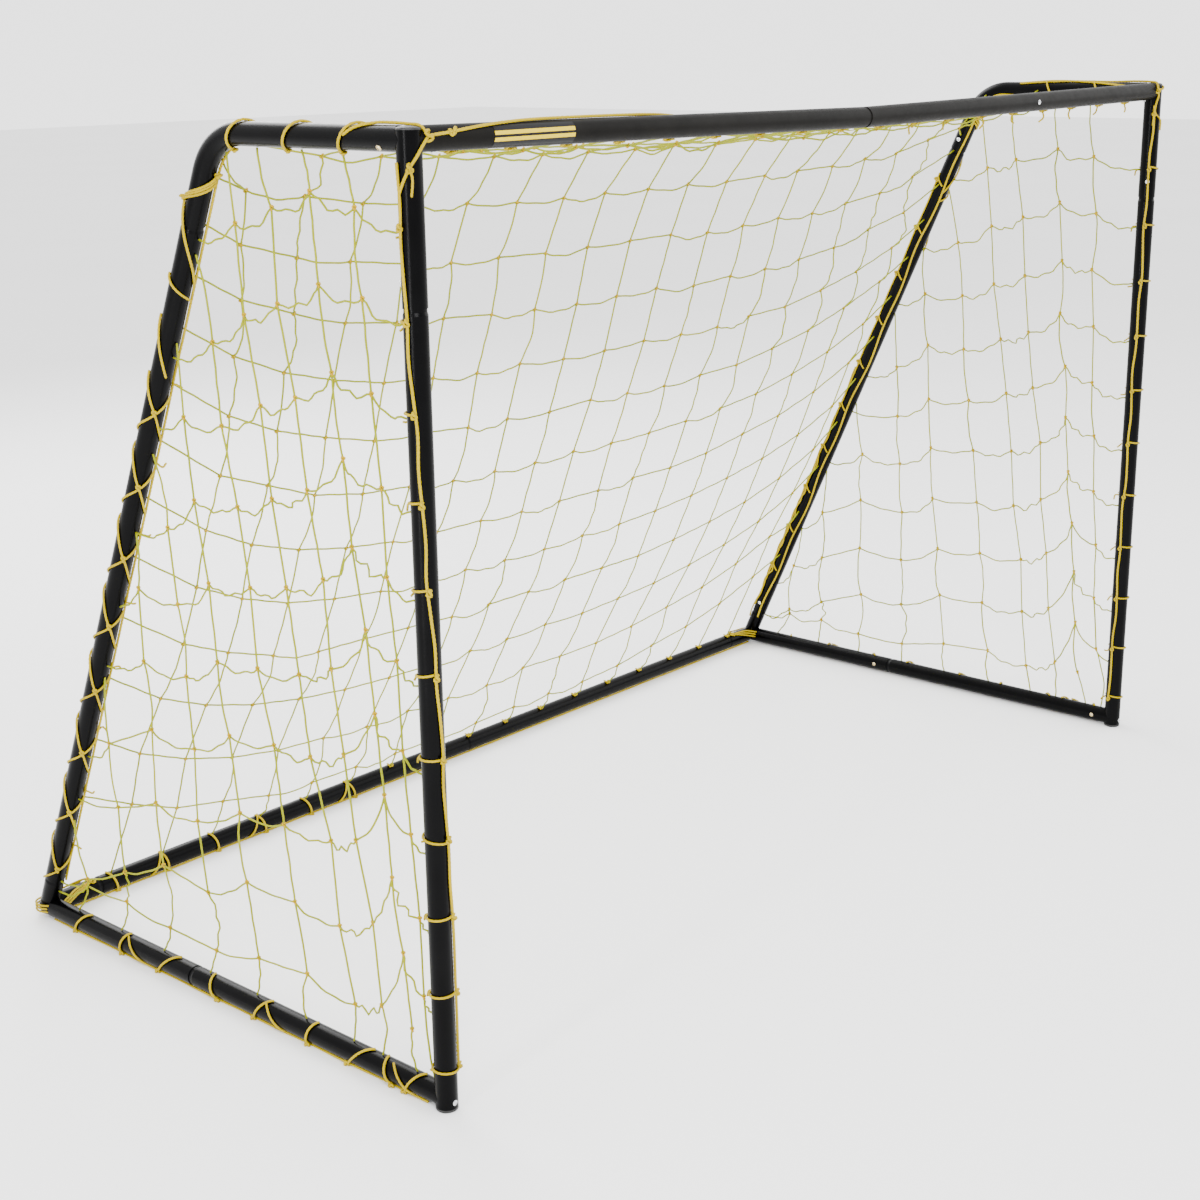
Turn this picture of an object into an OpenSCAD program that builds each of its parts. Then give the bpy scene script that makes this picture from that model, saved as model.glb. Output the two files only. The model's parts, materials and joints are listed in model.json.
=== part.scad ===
// Soccer goal: screwed steel tube frame with a knotted net and its border cords.
// X runs along the goal line, Y to the rear, Z up. The origin is on the ground at the middle of the
// whole object's footprint.

/* [Goal] */
// Overall width, outside of post to outside of post
goal_width = 2134; // [1800:1:2500]
// Overall height, ground to the top of the post caps
goal_height = 1400; // [1200:1:1700]
// Depth on the ground, post axis to rear ground bar axis
ground_depth = 1015; // [900:1:1200]
// Depth at the top, post axis to the corner where the top bar's axis would meet the stanchion's
top_depth = 395; // [330:1:450]
// How far the middle joint of the crossbar hangs below its ends
crossbar_droop = 12; // [0:0.5:16]

/* [Tube] */
// Outside diameter of every frame tube
tube_d = 34; // [30:0.5:38]
// Wall thickness
tube_wall = 1; // [0.8:0.1:1.6]
// Bend radius of the top bar's axis
bend_r = 92; // [75:1:110]
// Length of the necked end that goes inside the next tube
spigot_length = 78; // [50:1:90]
// Length of bare neck that shows beside a seam
neck_length = 9; // [4:0.5:14]
// Gap between a necked end and the bore that it goes into, on the radius
spigot_gap = 0.2; // [0.1:0.05:0.4]
// Gap between a tube's shaped end and the post that it butts against
cope_gap = 0.3; // [0.2:0.1:0.6]
// How far the welded knuckle of a rear corner stands out beyond its tubes
weld_bulge = 0.8; // [0.4:0.1:2]

/* [Seams] */
// Height of the seam in each post
post_seam_z = 1170; // [900:1:1180]
// Height of the seam between top bar and stanchion
stanchion_seam_z = 1255; // [1150:1:1270]
// Distance of the crossbar's seam from the middle, towards the right
crossbar_seam_x = -19; // [-60:1:60]
// Distance of the side ground bar's seam behind the post axis
side_seam_y = 590; // [400:1:700]
// Length of the rear corner's leg along the rear ground bar
rear_leg = 105; // [90:1:140]
// Height of the seam at the foot of each stanchion
stanchion_foot_z = 85; // [75:1:120]

/* [Caps and screws] */
// Thickness of a post cap outside the tube
cap_height = 5; // [4:0.5:8]
// Depth of a cap's plug inside the tube
cap_plug = 18; // [12:1:24]
// Diameter of a screw's head
screw_head_d = 8.5; // [7:0.1:10]
// Height of a screw's head
screw_head_h = 2.4; // [1.8:0.1:3]
// Diameter of a screw's shank
screw_d = 4.2; // [3:0.1:5]
// Length of a screw's shank under the head
screw_length = 12; // [9:0.5:14]
// Distance from a post's axis to the screws of the bars that butt against it
end_screw = 42; // [36:1:70]
// Distance of the extra crossbar screw from the middle
face_screw_x = 542; // [300:1:700]

/* [Label] */
// Length of the crossbar's label
label_length = 158; // [60:1:200]
// Middle of the label, from the left post's axis
label_centre = 219; // [160:1:300]
// Angle that the label wraps around the tube
label_wrap = 104; // [40:1:150]
// Thickness of the label
label_thick = 0.3; // [0.2:0.05:0.5]

/* [Net and cords] */
// Thickness of a net panel's plain solid
net_thick = 2.4; // [1.5:0.1:4]
// Gap between a net panel and the tubes around it
net_gap = 1.2; // [0.8:0.1:3]
// Diameter of the border cord
cord_d = 4.5; // [3:0.1:6]
// Thickness of the border cord where the frame presses it to the ground
ground_cord_d = 3; // [2:0.1:4]

/* [Hidden] */

$fn = 64;
LEFT = -1;
RIGHT = 1;
// Turns +Z to the rear.
TO_REAR = [-90, 0, 0];

tube_r = tube_d / 2;
bore_r = tube_r - tube_wall;
neck_r = bore_r - spigot_gap;
neck_bore_r = neck_r - tube_wall;
post_x = goal_width / 2 - tube_r;
bar_z = goal_height - tube_r;
ground_z = ground_cord_d + tube_r;
cord_r = cord_d / 2;

// The stanchion's axis runs down from the virtual top corner to the rear corner.
lean = atan2(ground_depth - top_depth, bar_z - ground_z);
bend_angle = 90 - lean;
bend_tangent = bend_r * tan(bend_angle / 2);
stanchion_length = norm([ground_depth - top_depth, bar_z - ground_z]);
function stanchion_drop(z) = (bar_z - z) / cos(lean);
// Distance from the rear corner's centre to where its bores start.
knuckle = tube_r * 1.7;
seam_drop = stanchion_drop(stanchion_seam_z);
foot_drop = stanchion_drop(stanchion_foot_z);

// Each crossbar half slopes down from its post to the middle joint.
half_run_left = crossbar_seam_x + post_x;
half_run_right = post_x - crossbar_seam_x;
slope_left = atan(crossbar_droop / half_run_left);
slope_right = atan(crossbar_droop / half_run_right);

// The frame is drawn with the posts' axes at y = 0 and then moved to the middle of the footprint.
front_reach = tube_r + screw_head_h;
rear_reach = ground_depth + tube_r;
y_shift = -(rear_reach - front_reach) / 2;

// ---------------------------------------------------------------- shared shapes

// Moves a piece from the posts' frame into the object's own frame.
module placed() {
  translate([0, y_shift, 0]) children();
}

// Draws a left-hand piece, or its mirror image on the right.
module on_side(side) {
  if (side == LEFT) children();
  else mirror([1, 0, 0]) children();
}

// A plain tube along +Z.
module tube(length) {
  difference() {
    cylinder(r = tube_r, h = length);
    translate([0, 0, -1]) cylinder(r = bore_r, h = length + 2);
  }
}

// A tube along +Z whose far end is necked down to go inside the next tube.
// The full diameter stops a neck's length short of the seam at z = length.
module necked_tube(length) {
  shoulder = length - neck_length;
  taper = neck_length / 2;
  tip = length + spigot_length;
  rotate_extrude()
    polygon([
      [bore_r, 0], [tube_r, 0], [tube_r, shoulder], [neck_r, shoulder + taper], [neck_r, tip],
      [neck_bore_r, tip], [neck_bore_r, shoulder + taper], [bore_r, shoulder]
    ]);
}

// A hidden stub on a left post, pointing along +Z from the post's axis, that a bar slides over.
// It is cut back to the post's wall, and to the caps' edge where it stands higher or lower than that.
module welded_stub(turn, height) {
  low = cap_height;
  high = goal_height - cap_height;
  difference() {
    translate([-post_x, 0, height]) rotate(turn) cylinder(r = neck_r, h = tube_r + spigot_length);
    translate([-post_x, 0, low]) cylinder(r = tube_r - tube_wall / 2, h = high - low);
    translate([-post_x, 0, high]) cylinder(r = tube_r + 0.1, h = 2 * cap_height);
    translate([-post_x, 0, -cap_height]) cylinder(r = tube_r + 0.1, h = 2 * cap_height);
  }
}

// The stub's bore stops at the post's wall, which stays whole behind it.
module stub_bore(turn, height) {
  translate([-post_x, 0, height]) rotate(turn) translate([0, 0, tube_r + 1])
    cylinder(r = neck_bore_r, h = spigot_length);
}

// Room for a post where a bar butts against it.
module post_clearance() {
  translate([0, 0, -goal_height]) cylinder(r = tube_r + cope_gap, h = 3 * goal_height);
}

// Shares of a screw head: its rim's height, its crown's radius, and its cross's length and width.
rim_share = 0.35;
crown_share = 0.55;
cross_length_share = 1.1;
cross_width_share = 0.26;

// A cross-head screw. Its head sits on the tube's skin at z = 0 and its shank points along -Z.
module screw() {
  rim = screw_head_h * rim_share;
  dome = screw_head_h - rim;
  head_r = screw_head_d / 2;
  slot = [head_r * cross_length_share, head_r * cross_width_share, dome * 2];
  difference() {
    union() {
      translate([0, 0, -screw_length]) cylinder(r = screw_d / 2, h = screw_length + rim, $fn = 24);
      cylinder(r = head_r, h = rim, $fn = 32);
      translate([0, 0, rim]) cylinder(r1 = head_r, r2 = head_r * crown_share, h = dome, $fn = 32);
    }
    for (a = [0, 90])
      translate([0, 0, screw_head_h]) rotate([0, 0, a]) cube(slot, center = true);
  }
}

// A screw, or its hole, on the skin of a tube whose axis passes through the current origin.
// The current +Z axis is the direction that the head faces.
module seated_screw() {
  translate([0, 0, tube_r]) screw();
}

module screw_hole() {
  cylinder(r = screw_d / 2 + 0.15, h = tube_r * 1.2, $fn = 24);
}

// ---------------------------------------------------------------- where things are

// Turns +Z to the direction of the left crossbar half, from the left post towards the middle.
module at_crossbar_left() {
  translate([-post_x, 0, bar_z]) rotate([0, 90 + slope_left, 0]) children();
}

// The same for the right half, from the right post towards the middle.
module at_crossbar_right() {
  translate([post_x, 0, bar_z]) rotate([0, -90 - slope_right, 0]) children();
}

// Origin at the left virtual top corner, +Z pointing down along the stanchion.
module at_stanchion() {
  translate([-post_x, top_depth, bar_z]) rotate([180 + lean, 0, 0]) children();
}

// Origin at the left rear corner, +Z pointing up along the stanchion.
module at_stanchion_foot() {
  translate([-post_x, ground_depth, ground_z]) rotate([lean, 0, 0]) children();
}

// +Z pointing to the rear along the left side ground bar, from the post's axis.
module at_side_bar() {
  translate([-post_x, 0, ground_z]) rotate(TO_REAR) children();
}

// +Z pointing to the rear along the left top bar, from the post's axis.
module at_top_bar() {
  translate([-post_x, 0, bar_z]) rotate(TO_REAR) children();
}

// Origin at the left rear corner, +Z pointing forwards along the side ground bar.
module at_forward_leg() {
  translate([-post_x, ground_depth, ground_z]) rotate([90, 0, 0]) children();
}

// +Z pointing to the right along the rear ground bar, from the left rear corner.
module at_rear_bar() {
  translate([-post_x, ground_depth, ground_z]) rotate([0, 90, 0]) children();
}

// Distance from a seam to the screw that holds it, and the same at the two ends of a stanchion.
seam_screw = 34;
stanchion_top_screw = 24;
stanchion_foot_screw = 30;
// How far the top bar's screw points down from straight out.
top_bar_screw_dip = 40;

// Each screw place below puts +Z out of the tube's skin, with the origin on the tube's axis.
post_screw_z = post_seam_z + 32;
// Direction of each post's screw, counted from +X towards +Y.
left_post_screw_turn = 135;
right_post_screw_turn = 205;
module at_post_screw(side) {
  turn = side == LEFT ? left_post_screw_turn : right_post_screw_turn;
  translate([side * post_x, 0, post_screw_z]) rotate([0, 0, turn]) rotate([0, 90, 0]) children();
}

foot_screw_z = 15;
module at_foot_screw() {
  translate([-post_x, 0, foot_screw_z]) rotate([90, 0, 0]) children();
}

// Screws of the left top bar: one at the post, facing out and down, one above the lower seam.
module at_top_bar_screw() {
  at_top_bar() translate([0, 0, end_screw]) rotate([0, 0, -top_bar_screw_dip]) rotate([0, -90, 0])
    children();
}

module at_stanchion_top_screw() {
  at_stanchion() translate([0, 0, seam_drop - stanchion_top_screw]) rotate([0, 90, 0]) children();
}

module at_stanchion_foot_screw() {
  at_stanchion() translate([0, 0, foot_drop - stanchion_foot_screw]) rotate([0, 90, 0]) children();
}

// Screws of the left side ground bar face the inside of the goal.
module at_ground_bar_screw(y) {
  at_side_bar() translate([0, 0, y]) rotate([0, 90, 0]) children();
}

// Screws of the rear ground bar face back and up.
module at_rear_bar_screw(x) {
  translate([x, ground_depth, ground_z]) rotate([-45, 0, 0]) children();
}

// Crossbar screws, along the left or right half, at a distance from its post's axis.
module at_crossbar_under_left(distance) {
  at_crossbar_left() translate([0, 0, distance]) rotate([0, 90, 0]) children();
}

module at_crossbar_under_right(distance) {
  at_crossbar_right() translate([0, 0, distance]) rotate([0, -90, 0]) children();
}

module at_crossbar_face(distance) {
  at_crossbar_right() translate([0, 0, distance]) rotate([90, 0, 0]) children();
}

side_seam_screw_y = side_seam_y + seam_screw;
rear_corner_screw_x = post_x - rear_leg - stanchion_foot_screw;
middle_screw_run = half_run_left - seam_screw;
rear_middle_screw_x = -seam_screw;

// ---------------------------------------------------------------- frame tubes

module post_upper(side) {
  top = goal_height - cap_height;
  to_crossbar = [0, 90 + (side == LEFT ? slope_left : slope_right), 0];
  color([0.09, 0.09, 0.1]) placed() difference() {
    on_side(side) union() {
      translate([-post_x, 0, post_seam_z]) tube(top - post_seam_z);
      welded_stub(to_crossbar, bar_z);
      welded_stub(TO_REAR, bar_z);
    }
    on_side(side) stub_bore(to_crossbar, bar_z);
    on_side(side) stub_bore(TO_REAR, bar_z);
    at_post_screw(side) screw_hole();
    if (side == LEFT) at_crossbar_under_left(end_screw) screw_hole();
    else at_crossbar_under_right(end_screw) screw_hole();
    on_side(side) at_top_bar_screw() screw_hole();
  }
}

module post_lower(side) {
  color([0.09, 0.09, 0.1]) placed() difference() {
    on_side(side) union() {
      translate([-post_x, 0, cap_height]) necked_tube(post_seam_z - cap_height);
      welded_stub(TO_REAR, ground_z);
    }
    on_side(side) stub_bore(TO_REAR, ground_z);
    at_post_screw(side) screw_hole();
    on_side(side) at_foot_screw() screw_hole();
    on_side(side) at_ground_bar_screw(end_screw) screw_hole();
  }
}

// The left half ends square at the seam and takes the right half's necked end.
module crossbar_left() {
  color([0.12, 0.12, 0.12]) placed() difference() {
    at_crossbar_left() tube(half_run_left / cos(slope_left) - neck_length / 3);
    translate([-post_x, 0, 0]) post_clearance();
    at_crossbar_under_left(end_screw) screw_hole();
    at_crossbar_under_left(middle_screw_run) screw_hole();
  }
}

// The right half's necked end follows the left half's axis, because the joint takes up the kink.
module crossbar_right() {
  body = half_run_right / cos(slope_right) - neck_length / 3;
  neck_start = half_run_left / cos(slope_left) - spigot_length;
  color([0.12, 0.12, 0.12]) placed() difference() {
    union() {
      at_crossbar_right() cylinder(r = tube_r, h = body);
      at_crossbar_left() translate([0, 0, neck_start]) cylinder(r = neck_r, h = spigot_length + 8);
    }
    translate([post_x, 0, 0]) post_clearance();
    at_crossbar_right() translate([0, 0, -1]) cylinder(r = bore_r, h = body - 9);
    at_crossbar_left() translate([0, 0, neck_start - 1])
      cylinder(r = neck_bore_r, h = spigot_length + 30);
    at_crossbar_under_right(end_screw) screw_hole();
    at_crossbar_under_left(middle_screw_run) screw_hole();
    at_crossbar_face(post_x - face_screw_x) screw_hole();
  }
}

// Post to seam in one tube: straight, bend, and a short straight stretch down the stanchion's line.
module top_bar(side) {
  straight = top_depth - bend_tangent;
  color([0.09, 0.09, 0.1]) placed() on_side(side) difference() {
    union() {
      at_top_bar() tube(straight);
      translate([-post_x, straight, bar_z - bend_r]) rotate([0, -90, 0]) bend_piece();
      at_stanchion() translate([0, 0, bend_tangent]) tube(seam_drop - bend_tangent);
    }
    translate([-post_x, 0, 0]) post_clearance();
    at_top_bar_screw() screw_hole();
    at_stanchion_top_screw() screw_hole();
  }
}

// The bend: its axis starts at +X of the local frame and turns towards +Y.
module bend_piece() {
  rotate_extrude(angle = bend_angle, $fn = 128) translate([bend_r, 0]) difference() {
    circle(r = tube_r, $fn = 64);
    circle(r = bore_r, $fn = 64);
  }
}

// Its necked top end goes up into the top bar; its lower end takes the rear corner's neck.
module stanchion(side) {
  length = foot_drop - seam_drop;
  color([0.09, 0.09, 0.1]) placed() on_side(side) difference() {
    at_stanchion() translate([0, 0, foot_drop]) mirror([0, 0, 1]) necked_tube(length);
    at_stanchion_top_screw() screw_hole();
    at_stanchion_foot_screw() screw_hole();
  }
}

// Front stretch of the side ground bar: slides over the post's stub and is necked at the rear.
module side_ground_bar(side) {
  color([0.09, 0.09, 0.1]) placed() on_side(side) difference() {
    at_side_bar() necked_tube(side_seam_y);
    translate([-post_x, 0, 0]) post_clearance();
    at_ground_bar_screw(end_screw) screw_hole();
    at_ground_bar_screw(side_seam_screw_y) screw_hole();
  }
}

// Welded corner: a leg forwards along the ground, a necked leg inwards and a necked leg upwards.
// The knuckle where the legs meet is closed, so each leg's bore starts just outside it.
module rear_corner(side) {
  forward = ground_depth - side_seam_y;
  up = stanchion_length - foot_drop;
  color([0.09, 0.09, 0.1]) placed() on_side(side) difference() {
    union() {
      translate([-post_x, ground_depth, ground_z]) sphere(r = tube_r + weld_bulge);
      at_forward_leg() cylinder(r = tube_r, h = forward);
      at_rear_bar() leg_outside(rear_leg);
      at_stanchion_foot() leg_outside(up);
    }
    at_forward_leg() translate([0, 0, knuckle]) cylinder(r = bore_r, h = forward);
    at_rear_bar() leg_bore(rear_leg);
    at_stanchion_foot() leg_bore(up);
    at_ground_bar_screw(side_seam_screw_y) screw_hole();
    at_rear_bar_screw(-rear_corner_screw_x) screw_hole();
    at_stanchion_foot_screw() screw_hole();
  }
}

// A corner's leg along +Z, full size to just short of the seam and necked beyond it.
module leg_outside(length) {
  shoulder = length - neck_length;
  taper = neck_length / 2;
  cylinder(r = tube_r, h = shoulder);
  translate([0, 0, shoulder]) cylinder(r1 = tube_r, r2 = neck_r, h = taper);
  cylinder(r = neck_r, h = length + spigot_length);
}

module leg_bore(length) {
  translate([0, 0, knuckle]) cylinder(r = neck_bore_r, h = length + spigot_length);
}

// Left half of the rear ground bar, square at both ends.
module rear_ground_bar_left() {
  color([0.09, 0.09, 0.1]) placed() difference() {
    at_rear_bar() translate([0, 0, rear_leg]) tube(post_x - rear_leg);
    at_rear_bar_screw(-rear_corner_screw_x) screw_hole();
    at_rear_bar_screw(rear_middle_screw_x) screw_hole();
  }
}

// Right half, with a neck that goes into the left half.
module rear_ground_bar_right() {
  color([0.09, 0.09, 0.1]) placed() difference() {
    mirror([1, 0, 0]) at_rear_bar() translate([0, 0, rear_leg]) necked_tube(post_x - rear_leg);
    at_rear_bar_screw(rear_corner_screw_x) screw_hole();
    at_rear_bar_screw(rear_middle_screw_x) screw_hole();
  }
}

// ---------------------------------------------------------------- caps, screws and label

// A plug with a domed top, along +Z, with its rim on the tube's end at z = 0.
module cap() {
  rim = cap_height * 0.3;
  dome = cap_height - rim;
  steps = 8;
  rotate_extrude() polygon([
    for (i = [0 : steps]) [tube_r * cos(90 * i / steps), rim + dome * sin(90 * i / steps)],
    [0, 0], [neck_r - 2, 0], [neck_r - 2, -cap_plug], [neck_r, -cap_plug], [neck_r, 0], [tube_r, 0]
  ]);
}

module post_top_caps() {
  color([0.06, 0.06, 0.06]) placed() for (side = [LEFT, RIGHT])
    translate([side * post_x, 0, goal_height - cap_height]) cap();
}

module post_foot_caps() {
  color([0.06, 0.06, 0.06]) placed() for (side = [LEFT, RIGHT]) on_side(side) difference() {
    translate([-post_x, 0, cap_height]) mirror([0, 0, 1]) foot_cap();
    at_foot_screw() screw_hole();
  }
}

// The foot cap has a flat sole inside its rounded edge, so that the post stands on it.
module foot_cap() {
  edge = cap_height * 0.5;
  steps = 6;
  rotate_extrude() polygon([
    for (i = [0 : steps])
      [tube_r - edge + edge * cos(90 * i / steps), cap_height - edge + edge * sin(90 * i / steps)],
    [0, cap_height], [0, 0], [neck_r - 2, 0], [neck_r - 2, -cap_plug], [neck_r, -cap_plug],
    [neck_r, 0], [tube_r, 0]
  ]);
}

module crossbar_screws() {
  color("silver") placed() {
    at_crossbar_under_left(end_screw) seated_screw();
    at_crossbar_under_right(end_screw) seated_screw();
    at_crossbar_under_left(middle_screw_run) seated_screw();
    at_crossbar_face(post_x - face_screw_x) seated_screw();
  }
}

module post_screws() {
  color("silver") placed() for (side = [LEFT, RIGHT]) at_post_screw(side) seated_screw();
}

module foot_screws() {
  color("silver") placed() for (side = [LEFT, RIGHT])
    on_side(side) at_foot_screw() seated_screw();
}

module top_bar_screws() {
  color([0.75, 0.6, 0.3]) placed() for (side = [LEFT, RIGHT])
    on_side(side) at_top_bar_screw() seated_screw();
}

module stanchion_screws() {
  color("silver") placed() for (side = [LEFT, RIGHT]) on_side(side) {
    at_stanchion_top_screw() seated_screw();
    at_stanchion_foot_screw() seated_screw();
  }
}

module ground_bar_screws() {
  color([0.75, 0.6, 0.3]) placed() for (side = [LEFT, RIGHT])
    for (y = [end_screw, side_seam_screw_y])
      on_side(side) at_ground_bar_screw(y) seated_screw();
}

module rear_bar_screws() {
  color("silver") placed() for (x = [-rear_corner_screw_x, rear_middle_screw_x, rear_corner_screw_x])
    at_rear_bar_screw(x) seated_screw();
}

// A thin label bent around the front of the crossbar's left half.
module crossbar_label() {
  skin = 0.05;
  front_turn = 180 + 90;
  color([0.95, 0.85, 0.1]) placed() at_crossbar_left()
    translate([0, 0, label_centre - label_length / 2]) rotate([0, 0, front_turn - label_wrap / 2])
      rotate_extrude(angle = label_wrap, $fn = 96)
        translate([tube_r + skin, 0]) square([label_thick, label_length]);
}

// ---------------------------------------------------------------- net panels

// Direction of the stanchion's axis in the side plane, as [y, z], pointing down and back.
down = [sin(lean), -cos(lean)];
// Direction square to it, pointing to the inside of the frame.
inward = [-cos(lean), -sin(lean)];
top_corner = [top_depth, bar_z];

// The side panel's outline in the side plane: a fixed clearance inside the four tube axes.
function side_outline(clear) =
  let (
    arc_r = bend_r - clear,
    arc_centre = [top_depth - bend_tangent, bar_z - bend_r],
    foot = top_corner + inward * clear,
    foot_run = (bar_z + inward[1] * clear - ground_z - clear) / cos(lean)
  )
  concat(
    [[clear, ground_z + clear], [clear, bar_z - clear]],
    [for (i = [0 : 6]) arc_centre + arc_r * [sin(bend_angle * i / 6), cos(bend_angle * i / 6)]],
    [foot + down * foot_run]
  );

module side_net(side) {
  clear = tube_r + net_gap;
  color([0.85, 0.85, 0.25, 0.5]) placed()
    translate([side * post_x + net_thick / 2, 0, 0]) rotate([90, 0, -90]) mirror([1, 0, 0])
      linear_extrude(height = net_thick) polygon(side_outline(clear));
}

// The back panel hangs from the crossbar to the rear ground bar. Its middle makes a slack roof and
// a fall close to the stanchions, and its sides follow the top bars and the stanchions.
across_steps = 12;
down_steps = 15;
// Where the panel starts behind the posts' plane.
net_start_y = 26;
// How sharply the panel rises from its middle line to its side lines.
edge_power = 3.5;

// Middle line of the panel as [y, z]: a roof that sags a little on its way back from the crossbar,
// a rounded turn between the two bends, then a fall to the rear bar near the stanchions' plane.
fall_end = [ground_depth - tube_r - net_gap - 4, ground_z + tube_r + 16];
middle_points = [
  [net_start_y, bar_z - 29],
  [140, bar_z - 37],
  [260, bar_z - 49],
  [350, bar_z - 69],
  [425, bar_z - 133],
  [497, bar_z - 224],
  [654, bar_z - 569],
  [846, bar_z - 991],
  [960, bar_z - 1243],
  fall_end
];

// Length of a chain of points up to point i, and the point that lies a run of s along the chain.
function chain_run(points, i) = i == 0 ? 0 : chain_run(points, i - 1) + norm(points[i] - points[i - 1]);
function chain_point(points, s, i = 1) =
  let (step = norm(points[i] - points[i - 1]))
  s <= step || i == len(points) - 1
    ? points[i - 1] + (points[i] - points[i - 1]) * min(1, s / step)
    : chain_point(points, s - step, i + 1);

function middle_line(t) =
  chain_point(middle_points, t * chain_run(middle_points, len(middle_points) - 1));

// Side line of the panel as [y, z], inside the top bar, the bend and the stanchion.
function side_line(t) =
  let (
    clear = tube_r + net_gap + 3,
    bar_run = top_depth - bend_tangent - net_start_y,
    arc_r = bend_r - clear,
    arc_run = arc_r * bend_angle * PI / 180,
    slope_run = (bar_z - fall_end[1] + inward[1] * clear) / cos(lean) - bend_tangent,
    s = t * (bar_run + arc_run + slope_run),
    arc_centre = [top_depth - bend_tangent, bar_z - bend_r]
  )
  s < bar_run
    ? [net_start_y + s, bar_z - clear]
    : s < bar_run + arc_run
      ? let (a = (s - bar_run) / arc_r * 180 / PI) arc_centre + arc_r * [sin(a), cos(a)]
      : top_corner + inward * clear + down * (bend_tangent + s - bar_run - arc_run);

// A point of the panel: u runs from -1 to 1 across, t from 0 to 1 down.
function back_point(u, t) =
  let (w = pow(abs(u), edge_power), p = middle_line(t) * (1 - w) + side_line(t) * w)
  [u * (post_x - tube_r - net_gap), p[0], p[1]];

module back_net() {
  lift = [0, net_thick * 0.6, net_thick * 0.8];
  columns = across_steps + 1;
  rows = down_steps + 1;
  count = columns * rows;
  grid = [
    for (j = [0 : down_steps]) for (i = [0 : across_steps])
      back_point(2 * i / across_steps - 1, j / down_steps)
  ];
  points = concat(grid, [for (p = grid) p + lift]);
  function at(i, j, layer) = j * columns + i + layer * count;
  sheet_faces = [
    for (j = [0 : down_steps - 1]) for (i = [0 : across_steps - 1])
      each [
        [at(i, j, 0), at(i, j + 1, 0), at(i + 1, j + 1, 0)],
        [at(i, j, 0), at(i + 1, j + 1, 0), at(i + 1, j, 0)],
        [at(i, j, 1), at(i + 1, j + 1, 1), at(i, j + 1, 1)],
        [at(i, j, 1), at(i + 1, j, 1), at(i + 1, j + 1, 1)]
      ]
  ];
  end_faces = [
    for (i = [0 : across_steps - 1])
      each [
        [at(i, 0, 0), at(i + 1, 0, 0), at(i + 1, 0, 1)],
        [at(i, 0, 0), at(i + 1, 0, 1), at(i, 0, 1)],
        [at(i, down_steps, 0), at(i + 1, down_steps, 1), at(i + 1, down_steps, 0)],
        [at(i, down_steps, 0), at(i, down_steps, 1), at(i + 1, down_steps, 1)]
      ]
  ];
  side_faces = [
    for (j = [0 : down_steps - 1])
      each [
        [at(0, j, 0), at(0, j + 1, 1), at(0, j + 1, 0)],
        [at(0, j, 0), at(0, j, 1), at(0, j + 1, 1)],
        [at(across_steps, j, 0), at(across_steps, j + 1, 0), at(across_steps, j + 1, 1)],
        [at(across_steps, j, 0), at(across_steps, j + 1, 1), at(across_steps, j, 1)]
      ]
  ];
  color([0.85, 0.85, 0.25, 0.5]) placed()
    polyhedron(points, concat(sheet_faces, end_faces, side_faces));
}

// ---------------------------------------------------------------- border cords

cord_sides = 8;

// Sweeps a round cord of radius r along a list of points.
module cord(path, r) {
  last = len(path) - 1;
  function unit(v) = v / norm(v);
  function heading(i) = unit(path[min(i + 1, last)] - path[max(i - 1, 0)]);
  function ring(i) =
    let (
      t = heading(i),
      side = unit(cross(t, abs(t[0]) > 0.7 ? [0, 0, 1] : [1, 0, 0])),
      other = cross(side, t)
    )
    [for (k = [0 : cord_sides - 1])
      path[i] + r * (cos(360 * k / cord_sides) * side + sin(360 * k / cord_sides) * other)];
  points = [for (i = [0 : last]) each ring(i)];
  walls = [
    for (i = [0 : last - 1]) for (k = [0 : cord_sides - 1])
      let (
        a = i * cord_sides + k,
        b = i * cord_sides + (k + 1) % cord_sides,
        c = a + cord_sides,
        d = b + cord_sides
      )
      each [[a, b, d], [a, d, c]]
  ];
  start_cap = [for (k = [cord_sides - 1 : -1 : 0]) k];
  end_cap = [for (k = [0 : cord_sides - 1]) last * cord_sides + k];
  polyhedron(points, concat([start_cap], walls, [end_cap]));
}

cord_reach = tube_r + cord_r + 0.1;

// A post's cord winds slowly part of the way around it from top to foot.
module post_cord(side) {
  steps = 24;
  top = bar_z - 40;
  foot = 62;
  start_turn = side == LEFT ? 165 : 215;
  end_turn = side == LEFT ? 330 : 175;
  path = [
    for (i = [0 : steps])
      let (k = i / steps, a = start_turn + (end_turn - start_turn) * k)
      [side * post_x + cord_reach * cos(a), cord_reach * sin(a), top + (foot - top) * k]
  ];
  color([0.9, 0.8, 0.1]) placed() cord(path, cord_r);
}

// The crossbar's cord lies against its lower rear side and dips with it.
module crossbar_cord() {
  turn = 50;
  back = cord_reach * cos(turn);
  under = bar_z - cord_reach * sin(turn);
  end = post_x - tube_r - cord_r - 2;
  path = [
    [-end, back, under - crossbar_droop * (post_x - end) / half_run_left],
    [crossbar_seam_x, back, under - crossbar_droop],
    [end, back, under - crossbar_droop * (post_x - end) / half_run_right]
  ];
  color([0.9, 0.8, 0.1]) placed() cord(path, cord_r);
}

// Points along the top bar, bend and stanchion, at a fixed reach to the inside of the bend.
function rear_route(reach, start, finish) =
  let (
    bends = 8,
    arc_r = bend_r - reach,
    arc_centre = [top_depth - bend_tangent, bar_z - bend_r],
    foot = top_corner + inward * reach
  )
  concat(
    [[start, bar_z - reach]],
    [for (i = [0 : bends])
      arc_centre + arc_r * [sin(bend_angle * i / bends), cos(bend_angle * i / bends)]],
    [foot + down * finish]
  );

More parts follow.
